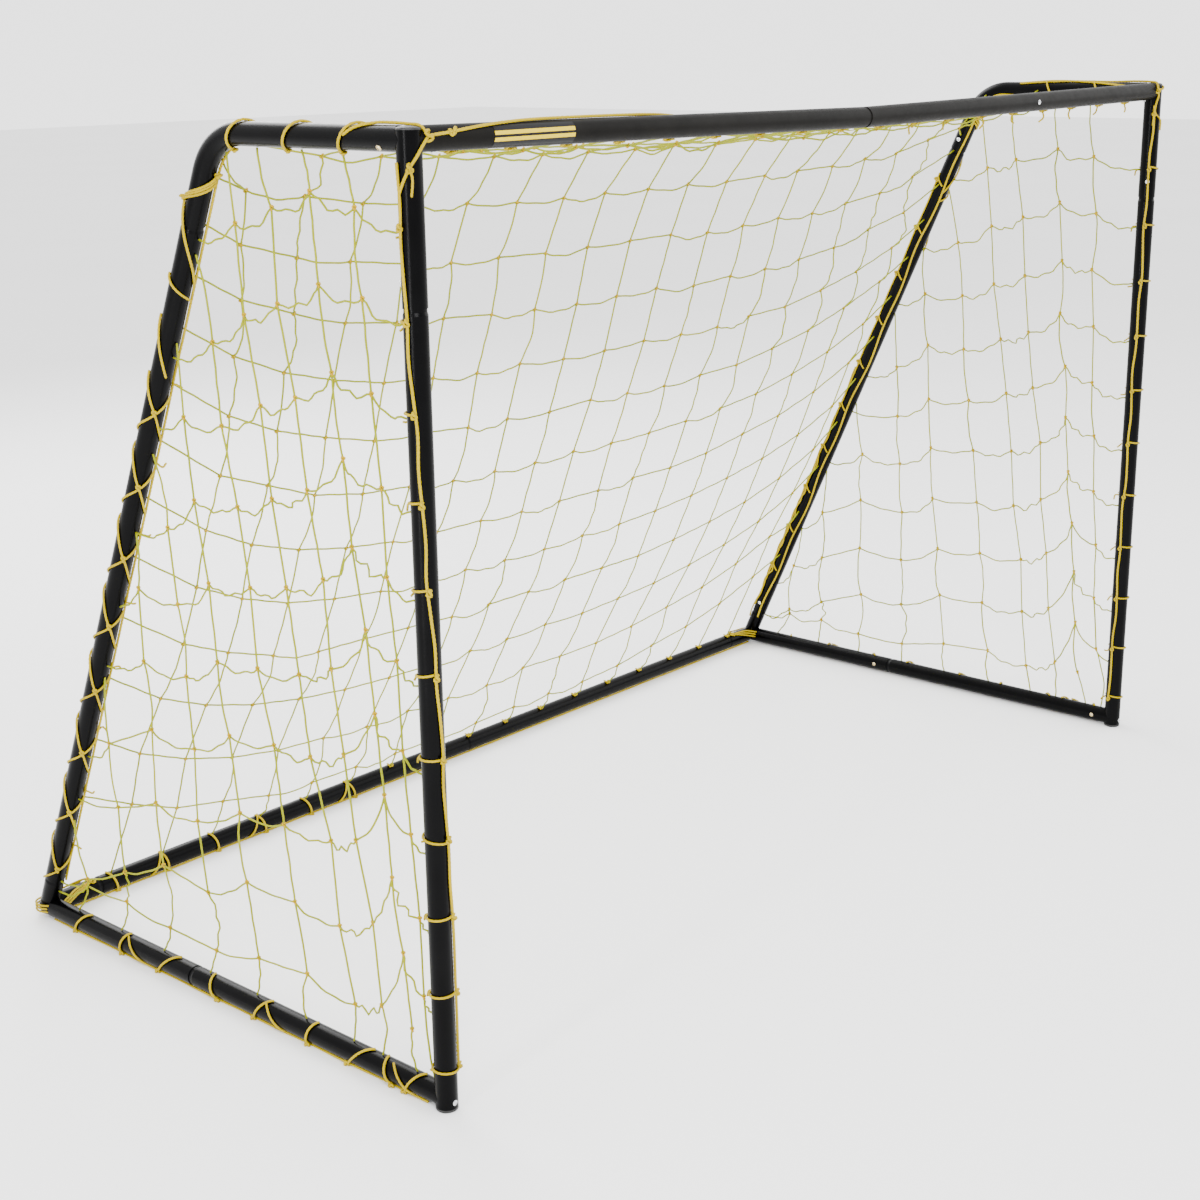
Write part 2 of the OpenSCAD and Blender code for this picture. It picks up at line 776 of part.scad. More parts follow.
// The rear cord lies on the goal's inner side of the top bar and the stanchion.
module rear_cord(side) {
  turn = 38;
  route = rear_route(cord_reach * sin(turn), 40, stanchion_length - 60);
  path = [for (p = route) [side * (post_x - cord_reach * cos(turn)), p[0], p[1]]];
  color([0.9, 0.8, 0.1]) placed() cord(path, cord_r);
}

// The ground cords are pressed flat between the tubes and the ground.
module side_ground_cord(side) {
  color([0.9, 0.8, 0.1]) placed() translate([side * post_x, tube_r + 8, ground_cord_d / 2])
    rotate([-90, 0, 0]) cylinder(r = ground_cord_d / 2, h = ground_depth - 2 * tube_r - 8, $fn = 24);
}

module rear_ground_cord() {
  color([0.9, 0.8, 0.1]) placed()
    translate([-post_x + tube_r, ground_depth, ground_cord_d / 2]) rotate([0, 90, 0])
      cylinder(r = ground_cord_d / 2, h = 2 * (post_x - tube_r), $fn = 24);
}

// ---------------------------------------------------------------- nodes

post_upper(LEFT);  // left_post_upper
post_upper(RIGHT);  // right_post_upper
post_lower(LEFT);  // left_post_lower
post_lower(RIGHT);  // right_post_lower
crossbar_left();
crossbar_right();
top_bar(LEFT);  // left_top_bar
top_bar(RIGHT);  // right_top_bar
stanchion(LEFT);  // left_stanchion
stanchion(RIGHT);  // right_stanchion
rear_corner(LEFT);  // left_rear_corner
rear_corner(RIGHT);  // right_rear_corner
side_ground_bar(LEFT);  // left_side_ground_bar
side_ground_bar(RIGHT);  // right_side_ground_bar
rear_ground_bar_left();
rear_ground_bar_right();
post_top_caps();
post_foot_caps();
crossbar_screws();
post_screws();
foot_screws();
top_bar_screws();
stanchion_screws();
ground_bar_screws();
rear_bar_screws();
crossbar_label();
side_net(LEFT);  // left_side_net
side_net(RIGHT);  // right_side_net
back_net();
post_cord(LEFT);  // left_post_cord
post_cord(RIGHT);  // right_post_cord
crossbar_cord();
rear_cord(LEFT);  // left_rear_cord
rear_cord(RIGHT);  // right_rear_cord
side_ground_cord(LEFT);  // left_ground_cord
side_ground_cord(RIGHT);  // right_ground_cord
rear_ground_cord();
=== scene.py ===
"""Looks of a garden soccer goal: painted tube frame, zinc screws, knotted net, ropes and lacing.

Everything is in metres. Shapes are worked out in the goal's own frame, with the posts' axes at y = 0,
and moved into the CAD frame when a mesh is made.
"""

import math

import bpy
import numpy as np
from mathutils import Matrix, Vector
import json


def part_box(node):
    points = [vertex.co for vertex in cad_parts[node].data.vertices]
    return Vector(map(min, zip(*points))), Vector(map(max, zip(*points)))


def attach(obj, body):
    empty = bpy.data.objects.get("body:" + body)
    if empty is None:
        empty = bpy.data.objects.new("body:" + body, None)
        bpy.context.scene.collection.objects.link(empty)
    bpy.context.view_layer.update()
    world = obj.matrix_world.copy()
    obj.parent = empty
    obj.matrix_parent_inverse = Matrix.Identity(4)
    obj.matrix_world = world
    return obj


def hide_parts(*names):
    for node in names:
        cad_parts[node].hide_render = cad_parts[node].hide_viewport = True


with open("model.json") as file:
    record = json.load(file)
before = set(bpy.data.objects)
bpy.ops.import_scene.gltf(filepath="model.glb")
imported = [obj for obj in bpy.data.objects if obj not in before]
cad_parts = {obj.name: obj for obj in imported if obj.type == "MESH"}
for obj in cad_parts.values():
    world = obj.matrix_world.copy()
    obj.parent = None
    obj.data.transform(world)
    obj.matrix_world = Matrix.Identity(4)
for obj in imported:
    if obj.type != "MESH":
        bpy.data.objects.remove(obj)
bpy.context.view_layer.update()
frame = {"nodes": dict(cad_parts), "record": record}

SEED = 7
LEFT, RIGHT = -1, 1

# -------------------- sizes read from the frame


def node_box(name):
    low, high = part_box(name)
    return np.array(low), np.array(high)


post_low, post_high = node_box("left_post_lower")
TUBE_R = (post_high[0] - post_low[0]) / 2
POST_X = -(post_low[0] + TUBE_R)
POST_Y = post_low[1] + TUBE_R
BAR_Z = node_box("left_top_bar")[1][2] - TUBE_R
rear_low, rear_high = node_box("rear_ground_bar_left")
REAR_Y = (rear_low[1] + rear_high[1]) / 2 - POST_Y
GROUND_Z = (rear_low[2] + rear_high[2]) / 2
CROSSBAR_SEAM_X = node_box("crossbar_left")[1][0]
CROSSBAR_DROOP = BAR_Z + TUBE_R - node_box("crossbar_right")[0][2] - 2 * TUBE_R
CAP_TOP_Z = node_box("post_top_caps")[1][2]


LEAN_ROUNDS = 30


def stanchion_lean():
    """Angle of the stanchion from upright: its axis ends at the rear corner, its mesh at its box."""
    low, high = node_box("left_stanchion")
    back = REAR_Y - (high[1] - POST_Y)
    rise = low[2] - GROUND_Z
    lean = math.atan2(back, rise)
    for _ in range(LEAN_ROUNDS):
        lean = math.atan2(back + TUBE_R * math.cos(lean), rise + TUBE_R * math.sin(lean))
    return lean


LEAN = stanchion_lean()
TOP_DEPTH = REAR_Y - (BAR_Z - GROUND_Z) * math.tan(LEAN)
BEND_R = 0.092
BEND_ANGLE = math.pi / 2 - LEAN
BEND_TANGENT = BEND_R * math.tan(BEND_ANGLE / 2)

# -------------------- sizes of the net and its cords

# The longest bar of the mesh, and the radii of the net's twine, the lacing and the border ropes.
MESH_BAR = 0.1205
TWINE_R = 0.0016
LACE_R = 0.0018
THICK_LACE_R = LACE_R * 1.1
ROPE_R = 0.0021
# The spacing of samples along a cord, the length of one twist, and the plies that show as lobes.
ROPE_STEP = 0.0035
ROPE_PITCH = 0.020
ROPE_LOBES, ROPE_LOBE_DEPTH = 3, 0.13
TWINE_SIDES = 6
ROPE_SIDES = 9
# The gap between a cord and the tube it lies on, and between the lowest strand and the floor.
SKIN = 0.0003
GROUND_CLEAR = 0.0004
# Distances from a tube's axis: of a twine's tied end, of a cut end, of a knot where lacings cross, of
# a knot on a wrap, of a border rope, and of a knot over that rope.
TIE_REACH = TUBE_R + 0.001
END_REACH = TUBE_R + 0.002
CROSS_REACH = TUBE_R + 0.003
WRAP_REACH = TUBE_R + 0.004
ROPE_REACH = TUBE_R + ROPE_R + SKIN
ROPE_KNOT_REACH = TUBE_R + ROPE_R * 2

# -------------------- paths and swept strands


def unit(v):
    v = np.asarray(v, dtype=float)
    return v / max(np.linalg.norm(v), 1e-12)


def run_lengths(points):
    steps = np.linalg.norm(np.diff(points, axis=0), axis=1)
    return np.concatenate([[0.0], np.cumsum(steps)])


def smooth_path(points, step):
    """A Catmull-Rom curve through the points, sampled about every step."""
    p = np.asarray(points, dtype=float)
    ends = np.vstack([2 * p[0] - p[1], p, 2 * p[-1] - p[-2]])
    out = []
    for k in range(len(p) - 1):
        a, b, c, d = ends[k:k + 4]
        count = max(2, int(np.linalg.norm(c - b) / step) + 1)
        t = np.linspace(0, 1, count, endpoint=False)[:, None]
        out.append(0.5 * (2 * b + (c - a) * t + (2 * a - 5 * b + 4 * c - d) * t ** 2
                          + (3 * b - a - 3 * c + d) * t ** 3))
    out.append(p[-1:])
    return np.vstack(out)


class Strands:
    """Collects swept strands of twine or rope into one mesh."""

    def __init__(self, sides, lobes=0, lobe_depth=0.0):
        self.sides = sides
        self.lobes = lobes
        self.lobe_depth = lobe_depth
        self.verts = []
        self.faces = []
        self.uvs = []

    def add(self, points, radius):
        """Sweeps a strand along the points. Its plies wind round it once every rope pitch."""
        p = np.asarray(points, dtype=float)
        keep = np.concatenate([[True], np.linalg.norm(np.diff(p, axis=0), axis=1) > 1e-6])
        p = p[keep]
        if len(p) < 2:
            return
        tangent = np.gradient(p, axis=0)
        tangent /= np.maximum(np.linalg.norm(tangent, axis=1), 1e-12)[:, None]
        run = run_lengths(p)
        turn = run * 2 * math.pi / ROPE_PITCH
        axis = np.eye(3)[np.argmin(np.abs(tangent[0]))]
        normal = unit(np.cross(tangent[0], axis))
        angles = np.arange(self.sides) * 2 * math.pi / self.sides
        base = len(self.verts)
        for i in range(len(p)):
            normal = unit(normal - tangent[i] * normal.dot(tangent[i]))
            other = np.cross(tangent[i], normal)
            swell = 1 + self.lobe_depth * np.cos(self.lobes * (angles - turn[i]))
            ring = p[i] + radius * swell[:, None] * (
                np.cos(angles)[:, None] * normal + np.sin(angles)[:, None] * other)
            self.verts.extend(ring)
        n = self.sides
        for i in range(len(p) - 1):
            for k in range(n):
                a = base + i * n + k
                b = base + i * n + (k + 1) % n
                self.faces.append((a, b, b + n, a + n))
                u0, u1 = k / n, (k + 1) / n
                v0, v1 = run[i] / ROPE_PITCH, run[i + 1] / ROPE_PITCH
                self.uvs.extend([(u0, v0), (u1, v0), (u1, v1), (u0, v1)])
        last = base + (len(p) - 1) * n
        self.faces.append(tuple(range(base + n - 1, base - 1, -1)))
        self.faces.append(tuple(range(last, last + n)))
        self.uvs.extend([(0.5, 0.0)] * n + [(0.5, run[-1] / ROPE_PITCH)] * n)

    def build(self, name, material, slot, replaces=()):
        """Makes the mesh object, parents it under the root and hides the CAD nodes that it replaces."""
        moved = np.array(self.verts) + np.array([0.0, POST_Y, 0.0])
        moved[:, 2] = np.maximum(moved[:, 2], GROUND_CLEAR)
        mesh = bpy.data.meshes.new(name)
        mesh.from_pydata(moved.tolist(), [], self.faces)
        layer = mesh.uv_layers.new(name="strand")
        layer.data.foreach_set("uv", np.array(self.uvs, dtype=np.float32).ravel())
        mesh.polygons.foreach_set("use_smooth", [True] * len(mesh.polygons))
        mesh.materials.append(material)
        mesh.update()
        piece = bpy.data.objects.new(name, mesh)
        bpy.context.scene.collection.objects.link(piece)
        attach(piece, "root")
        if replaces:
            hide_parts(*replaces)
        return piece


def rope_strands():
    return Strands(ROPE_SIDES, ROPE_LOBES, ROPE_LOBE_DEPTH)


def twine_strands():
    return Strands(TWINE_SIDES)


# -------------------- rails: the axes of the tubes


# How many samples a rail has: along a top bar, round a bend, down a stanchion or a post, and along
# a ground bar or half of the crossbar.
TOP_SAMPLES, BEND_SAMPLES, LONG_SAMPLES, BAR_SAMPLES = 30, 16, 60, 40


class Rail:
    """The axis of a run of tube. At each distance s it has a side and an up direction, and turn is
    the angle round the tube from side towards up, in degrees."""

    def __init__(self, points, side):
        self.points = np.asarray(points, dtype=float)
        self.run = run_lengths(self.points)
        self.length = self.run[-1]
        self.side = unit(side)
        self.tangents = np.gradient(self.points, axis=0)

    def centre(self, s):
        return np.array([np.interp(s, self.run, self.points[:, k]) for k in range(3)])

    def tangent(self, s):
        return unit([np.interp(s, self.run, self.tangents[:, k]) for k in range(3)])

    def up(self, s):
        up = unit(np.cross(self.side, self.tangent(s)))
        lean_out = up[1] if abs(up[1]) > abs(up[2]) else up[2]
        return up if lean_out > 0 else -up

    def skin(self, s, turn, reach):
        a = math.radians(turn)
        return self.centre(s) + reach * (math.cos(a) * self.side + math.sin(a) * self.up(s))

    def follow(self, keys, radius, step=ROPE_STEP):
        """A cord on the tube's skin through keys of (s, turn) or (s, turn, lift off the skin)."""
        flat = [(k[0], math.radians(k[1]) * TUBE_R, k[2] if len(k) > 2 else 0.0) for k in keys]
        path = smooth_path(flat, step)
        reach = TUBE_R + radius + SKIN
        return [self.skin(s, math.degrees(arc / TUBE_R), reach + max(lift, 0.0)) for s, arc, lift in path]


def side_rail(side):
    """From the post back along the top bar, round the bend and down the stanchion to the corner."""
    centre_y, centre_z = TOP_DEPTH - BEND_TANGENT, BAR_Z - BEND_R
    points = [(side * POST_X, y, BAR_Z) for y in np.linspace(0, centre_y, TOP_SAMPLES)]
    for a in np.linspace(0, BEND_ANGLE, BEND_SAMPLES)[1:]:
        points.append((side * POST_X, centre_y + BEND_R * math.sin(a), centre_z + BEND_R * math.cos(a)))
    start = np.array(points[-1])
    end = np.array([side * POST_X, REAR_Y, GROUND_Z])
    points += [tuple(start + (end - start) * t) for t in np.linspace(0, 1, LONG_SAMPLES)[1:]]
    return Rail(points, (side, 0, 0))


def crossbar_rail():
    left, right = (-POST_X, 0, BAR_Z), (POST_X, 0, BAR_Z)
    seam = (CROSSBAR_SEAM_X, 0, BAR_Z - CROSSBAR_DROOP)
    halves = np.linspace(left, seam, BAR_SAMPLES), np.linspace(seam, right, BAR_SAMPLES)[1:]
    return Rail(np.vstack(halves), (0, -1, 0))


def straight_rail(start, end, side):
    return Rail(np.linspace(start, end, BAR_SAMPLES), side)


SIDE_RAILS = {side: side_rail(side) for side in (LEFT, RIGHT)}
CROSSBAR = crossbar_rail()
REAR_BAR = straight_rail((-POST_X, REAR_Y, GROUND_Z), (POST_X, REAR_Y, GROUND_Z), (0, -1, 0))
GROUND_RAILS = {s: straight_rail((s * POST_X, 0, GROUND_Z), (s * POST_X, REAR_Y, GROUND_Z), (s, 0, 0))
                for s in (LEFT, RIGHT)}


class PostRail(Rail):
    """A post from top to foot. Turn 0 points to +X and turn 90 to the rear."""

    def __init__(self, side):
        top, foot = (side * POST_X, 0, BAR_Z + TUBE_R), (side * POST_X, 0, 0)
        super().__init__(np.linspace(top, foot, LONG_SAMPLES), (1, 0, 0))

    def up(self, s):
        return np.array([0.0, 1.0, 0.0])


POSTS = {side: PostRail(side) for side in (LEFT, RIGHT)}
STANCHION_START = SIDE_RAILS[LEFT].length - (BAR_Z - GROUND_Z) / math.cos(LEAN) + BEND_TANGENT

# -------------------- twine between two points


HANG_SAMPLES = 11
# A shallow curve sags by the root of this share of its span times its slack, up to a share of the span.
SAG_SHARE = 0.375
MOST_SAG = 0.4
# How far the slack leans sideways, and how much more it does on a twine that is nearly upright.
SIDE_LEAN, UPRIGHT_LEAN, UPRIGHT = 0.25, 0.6, 0.5
# How far the lowest place may shift from the middle.
LOPSIDED = 0.35
# The height of old folds, its growth with the slack, and how many waves they make.
FOLD, FOLD_PER_SLACK = 0.0004, 0.09
FOLD_WAVES = (1.6, 2.9)


def hang(start, end, length, rng, droop=0.45):
    """A twine of the given length between two points: slack hangs down, and old folds crinkle it."""
    start, end = np.asarray(start, float), np.asarray(end, float)
    chord = end - start
    span = np.linalg.norm(chord)
    slack = max(length - span, 0.0)
    sag = min(math.sqrt(SAG_SHARE * span * slack), MOST_SAG * span) * droop
    along = chord / max(span, 1e-9)
    down = np.array([0.0, 0.0, -1.0])
    down = down - along * down.dot(along)
    flatness = np.linalg.norm(down)
    sideways = unit(np.cross(along, rng.normal(size=3)))
    direction = unit(down + sideways * (SIDE_LEAN + UPRIGHT_LEAN * max(0.0, UPRIGHT - flatness)))
    t = np.linspace(0, 1, HANG_SAMPLES)
    bow = 4 * t * (1 - t)
    bow *= 1 + rng.uniform(-LOPSIDED, LOPSIDED) * (2 * t - 1)
    phase = t * rng.uniform(*FOLD_WAVES) + rng.uniform()
    wave = np.sin(2 * math.pi * phase) * np.sqrt(bow) * (FOLD + FOLD_PER_SLACK * slack)
    other = np.cross(along, direction)
    across = wave * rng.uniform(-1, 1)
    return start + chord * t[:, None] + direction * (sag * bow + wave)[:, None] + other * across[:, None]


# A knot's samples, how far it may be turned, and its width and depth against its length.
KNOT_SAMPLES = 15
KNOT_SPIN = 0.4
KNOT_WIDTH, KNOT_DEPTH = 0.75, 0.45


def knot_loop(at, along, across, size, rng):
    """A small figure-of-eight of twine drawn tight round a crossing."""
    along, across = unit(along), unit(across)
    out = unit(np.cross(along, across))
    t = np.linspace(0, 2 * math.pi, KNOT_SAMPLES)
    spin = rng.uniform(-KNOT_SPIN, KNOT_SPIN)
    a = math.cos(spin) * along + math.sin(spin) * across
    b = math.cos(spin) * across - math.sin(spin) * along
    return at + size * (np.outer(np.sin(t), a) + np.outer(np.sin(2 * t) * KNOT_WIDTH, b)
                        + np.outer(np.cos(t) * KNOT_DEPTH, out))


# -------------------- side nets

NET_KNOT_SIZE = 0.0031
NET_KNOT_R = TWINE_R * 0.95
# Each column of knots, counted from the post to the rear: where its line meets the top and the
# ground, how far its knots sit below those of the highest column, and how that grows with each row.
COLUMN_TOPS = (0.112, 0.205, 0.300, 0.385, 0.465, 0.550, 0.600, 0.675, 0.770, 0.750)
COLUMN_FEET = (0.022, 0.060, 0.115, 0.180, 0.290, 0.410, 0.530, 0.655, 0.775, 0.900)
COLUMN_DROPS = (0.011, 0.0, 0.025, 0.046, 0.097, 0.100, 0.160, 0.150, 0.215, 0.230)
DROP_GROWTHS = (0.0047, 0.0, 0.0083, 0.0085, 0.0013, 0.0020, 0.0, 0.0, -0.0030, 0.0)
ROWS_DOWN = 11
# The columns from this one on have a row less. Their lowest knots lie on a small wave, at this height
# or above it.
SHORT_FROM = 2
LOWEST_KNOT, LOW_WAVE, LOW_WAVE_STEP = 0.088, 0.012, 1.7
# No knot is nearer than this to a tube's axis and to the floor.
FRAME_MARGIN, FLOOR_MARGIN = 0.040, 0.06
SIDE_SCATTER = (0.003, 0.003, 0.002)
# The height of the first row, the pitch of the rows, and how far all columns but the last lie back.
SIDE_NETS = {
    LEFT: {"name": "left", "first": 1.308, "pitch": 0.1207, "back": 0.0},
    RIGHT: {"name": "right", "first": 1.262, "pitch": 0.1158, "back": 0.022},
}
# The net's ties. To the post: how far they fall, and the lowest of them. To the ground bar: what share
# of "back" they take, and how far behind the column's foot they are. To the top and to the rear: the
# way from the knot to the place that they make for. Only knots near enough are tied to the rear.
POST_DROP, LOWEST_POST_TIE = 0.034, 0.05
FOOT_BACK, FOOT_SHIFT = 0.3, 0.02
TOP_TIE_WAY = (0.012, MESH_BAR * 0.9)
REAR_TIE_WAY = (0.10, -0.02)
REAR_TIE_GAP = 1.6 * MESH_BAR
# The length of each tie over its gap, and the length it may take up to one bar of the mesh.
FOOT_SLACK, TOP_SLACK = 1.08, 1.02
REAR_SLACK, REAR_MOST = 1.04, 1.25
POST_SLACK, POST_MOST = 1.05, 1.5


def stanchion_y(z):
    """Where the stanchion's axis is at a height."""
    return TOP_DEPTH + (BAR_Z - z) * math.tan(LEAN)


def frame_gap(y, z):
    """Distance from a point of the side plane to the nearest tube axis at the rear or the top."""
    rear = (stanchion_y(z) - y) * math.cos(LEAN)
    return min(rear, BAR_Z - z)


def tie_on_side(side, y, z):
    """The nearest place on the inner skin of the top bar, bend or stanchion."""
    rail = SIDE_RAILS[side]
    d = np.hypot(rail.points[:, 1] - y, rail.points[:, 2] - z)
    s = rail.run[int(np.argmin(d))]
    return rail.skin(s, -90, TIE_REACH)


def side_knots(side, rng):
    """Where the knots of a side net are, by column and row."""
    spec = SIDE_NETS[side]
    last_column = len(COLUMN_TOPS) - 1
    knot_at = {}
    for k, (top, foot) in enumerate(zip(COLUMN_TOPS, COLUMN_FEET)):
        is_short = k >= SHORT_FROM
        for r in range(ROWS_DOWN - 1 if is_short else ROWS_DOWN):
            z = spec["first"] - spec["pitch"] * r - COLUMN_DROPS[k] - DROP_GROWTHS[k] * r
            if is_short and r == ROWS_DOWN - 2:
                z = max(z, LOWEST_KNOT + LOW_WAVE * math.sin(LOW_WAVE_STEP * k))
            y = foot + (top - foot) * z / BAR_Z + (spec["back"] if k < last_column else 0.0)
            if frame_gap(y, z) < FRAME_MARGIN or z < FLOOR_MARGIN:
                continue
            knot_at[k, r] = np.array([side * POST_X, y, z]) + rng.normal(size=3) * SIDE_SCATTER
    return knot_at


def side_net(side):
    """The net in the triangle between a post, its top bar, its stanchion and its ground bar."""
    rng = np.random.default_rng(SEED + side)
    spec = SIDE_NETS[side]
    last_column = len(COLUMN_TOPS) - 1
    twine, knots = twine_strands(), twine_strands()
    knot_at = side_knots(side, rng)

    def tie(knot, end, slack, most=0.0):
        gap = np.linalg.norm(end - knot)
        twine.add(hang(knot, end, max(gap * slack, min(MESH_BAR, gap * most)), rng), TWINE_R)

    for (k, r), p in knot_at.items():
        if (k, r + 1) in knot_at:
            twine.add(hang(p, knot_at[k, r + 1], MESH_BAR, rng), TWINE_R)
        else:
            foot_y = COLUMN_FEET[k] + spec["back"] * FOOT_BACK
            foot = GROUND_RAILS[side].skin(max(foot_y, TUBE_R), 90, TIE_REACH)
            foot[1] += FOOT_SHIFT if k >= SHORT_FROM else 0.0
            tie(p, foot, FOOT_SLACK)
        if (k, r - 1) not in knot_at:
            tie(p, tie_on_side(side, p[1] + TOP_TIE_WAY[0], p[2] + TOP_TIE_WAY[1]), TOP_SLACK)
        if (k + 1, r) in knot_at:
            twine.add(hang(p, knot_at[k + 1, r], MESH_BAR, rng), TWINE_R)
        elif k == last_column or frame_gap(p[1], p[2]) < REAR_TIE_GAP:
            rear = tie_on_side(side, p[1] + REAR_TIE_WAY[0], p[2] + REAR_TIE_WAY[1])
            tie(p, rear, REAR_SLACK, REAR_MOST)
        if k == 0:
            post_z = max(p[2] - POST_DROP + COLUMN_DROPS[0], LOWEST_POST_TIE)
            tie(p, np.array([side * POST_X, TIE_REACH, post_z]), POST_SLACK, POST_MOST)
        knots.add(knot_loop(p, (0, 0, 1), (0, 1, 0), NET_KNOT_SIZE, rng), NET_KNOT_R)
    name = spec["name"]
    twine.build(f"{name}_side_twine", NET_TWINE, "net_twine", (f"{name}_side_net",))
    knots.build(f"{name}_side_knots", NET_KNOT, "net_twine")


# -------------------- back net

# Middle line of the back net in the plane of y and z: a flat roof behind the crossbar, then down
# between the stanchions to the rear ground bar.
MIDDLE_LINE = np.array([
    (0.020, 1.356), (0.140, 1.352), (0.260, 1.349), (0.350, 1.332), (0.428, 1.262), (0.497, 1.159),
    (0.654, 0.814), (0.846, 0.392), (0.960, 0.140), (1.000, 0.050)])
BACK_ROWS = 15
ROW_START = -0.020
ROW_PITCH = 0.118
COLUMN_NUMBERS = range(-12, 16)
# The rows on the roof are tied to the side frame at one pitch. The others are tied down the bend and
# the stanchion, from a first place, with gaps that widen towards the ground.
ROOF_ROWS = 3
ROOF_TIE_PITCH = 0.127
SLOPE_ROWS = 13
SLOPE_TIES_FROM, SLOPE_TIE_RUN, SLOPE_TIE_STRETCH = 0.38, 0.85, 0.55
# Ties on the crossbar, columns of knots and ties on the rear bar: the place of number 0, and the step.
TOP_TIE_X, TOP_SPACING = -0.4065, 0.1125
COLUMN_X, NET_SPACING = -0.1895, 0.1155
FOOT_TIE_X, FOOT_SPACING = -0.2210, 0.1165
# The columns bow to the left above and below this row.
BOW_ROW = 11.5
BOW_ABOVE, BOW_BELOW = 0.0016, 0.0060
EDGE_X = POST_X - TIE_REACH
# How sharply the net rises or falls from its middle line to the side frame.
EDGE_POWER = 3.5
# No knot is nearer than this to the side frame, and the last row is this far from the rear bar.
EDGE_MARGIN, LAST_ROW_GAP = 0.035, 0.035
BACK_SCATTER = (0.004, 0.0, 0.003)
# The crossbar's rope and its ties lie at this turn, and the rear bar's ties at that one.
CROSSBAR_ROPE_TURN, REAR_TIE_TURN = 230, 75
# Column ends tied to the side frame: the first place on it, and the way past the column's end row.
CORNER_TIE, COLUMN_END_WAY = 0.03, 0.06
# The length of each tie over its gap, and the shortest a tie gets.
ROW_TIE_SLACK, SHORTEST_ROW_TIE = 1.02, 0.02
COLUMN_TIE_SLACK, SHORTEST_TOP_TIE, SHORTEST_FOOT_TIE = 1.01, MESH_BAR * 0.8, 0.03
BACK_DROOP = 0.5


def column_x(i, j):
    """Where column i of the back net crosses row j. Row 0 is the crossbar, the last one the rear bar."""
    if j == 0:
        return TOP_TIE_X + TOP_SPACING * i
    if j >= BACK_ROWS:
        return FOOT_TIE_X + FOOT_SPACING * i
    bow = BOW_ABOVE if j < BOW_ROW else BOW_BELOW
    return COLUMN_X + NET_SPACING * i - bow * (j - BOW_ROW) ** 2


middle_run = run_lengths(MIDDLE_LINE)


def edge_run(s):
    """How far along the side frame a row is tied that crosses the middle line at s."""
    row = (s - ROW_START) / ROW_PITCH
    if row < ROOF_ROWS:
        return ROOF_TIE_PITCH * row
    share = (row - ROOF_ROWS) / SLOPE_ROWS
    return SLOPE_TIES_FROM + SLOPE_TIE_RUN * share + SLOPE_TIE_STRETCH * share ** 2


def back_point(x, s):
    """A point of the back net: s runs down its middle line, and its sides follow the frame."""
    w = abs(min(1.0, abs(x) / EDGE_X)) ** EDGE_POWER
    middle = np.array([0.0, np.interp(s, middle_run, MIDDLE_LINE[:, 0]),
                       np.interp(s, middle_run, MIDDLE_LINE[:, 1])])
    edge = SIDE_RAILS[RIGHT if x > 0 else LEFT].centre(edge_run(s)) * (0, 1, 1)
    point = middle * (1 - w) + edge * w
    point[0] = x
    return point


def edge_tie(side, s):
    """Where a strand of the back net is tied on the inner face of the side frame."""
    return SIDE_RAILS[side].skin(edge_run(s), 180, TIE_REACH)


def row_run(j):
    """How far down the middle line row j is."""
    return ROW_START + ROW_PITCH * j


# In each round of settling a loose knot sinks a little, is drawn a share of the way home, and then the
# bars pull it back in a few passes, each a little more than needed.
SETTLE_ROUNDS = 220
KNOT_SINK = 0.0003
HOME_PULL = 0.03
LINK_PASSES = 4
OVER_PULL = 1.4


def settle(points, links, fixed):
    """Lets the knots sink under their weight while no bar of the net gets longer than it is."""
    keys = list(points)
    index = {k: n for n, k in enumerate(keys)}
    p = np.array([points[k] for k in keys])
    home = p.copy()
    free = np.array([k not in fixed for k in keys], dtype=float)[:, None]
    a = np.array([index[l[0]] for l in links])
    b = np.array([index[l[1]] for l in links])
    longest = np.array([l[2] for l in links])[:, None]
    count = np.maximum(np.bincount(np.concatenate([a, b]), minlength=len(p)), 1)[:, None]
    for _ in range(SETTLE_ROUNDS):
        p = p + free * (home - p) * HOME_PULL
        p[:, 2] -= free[:, 0] * KNOT_SINK
        for _ in range(LINK_PASSES):
            d = p[b] - p[a]
            length = np.maximum(np.linalg.norm(d, axis=1), 1e-9)[:, None]
            pull = d * np.maximum(length - longest, 0) / length
            move = np.zeros_like(p)
            np.add.at(move, a, pull)
            np.add.at(move, b, -pull)
            p = p + free * move / count * OVER_PULL
    return {k: p[index[k]] for k in keys}


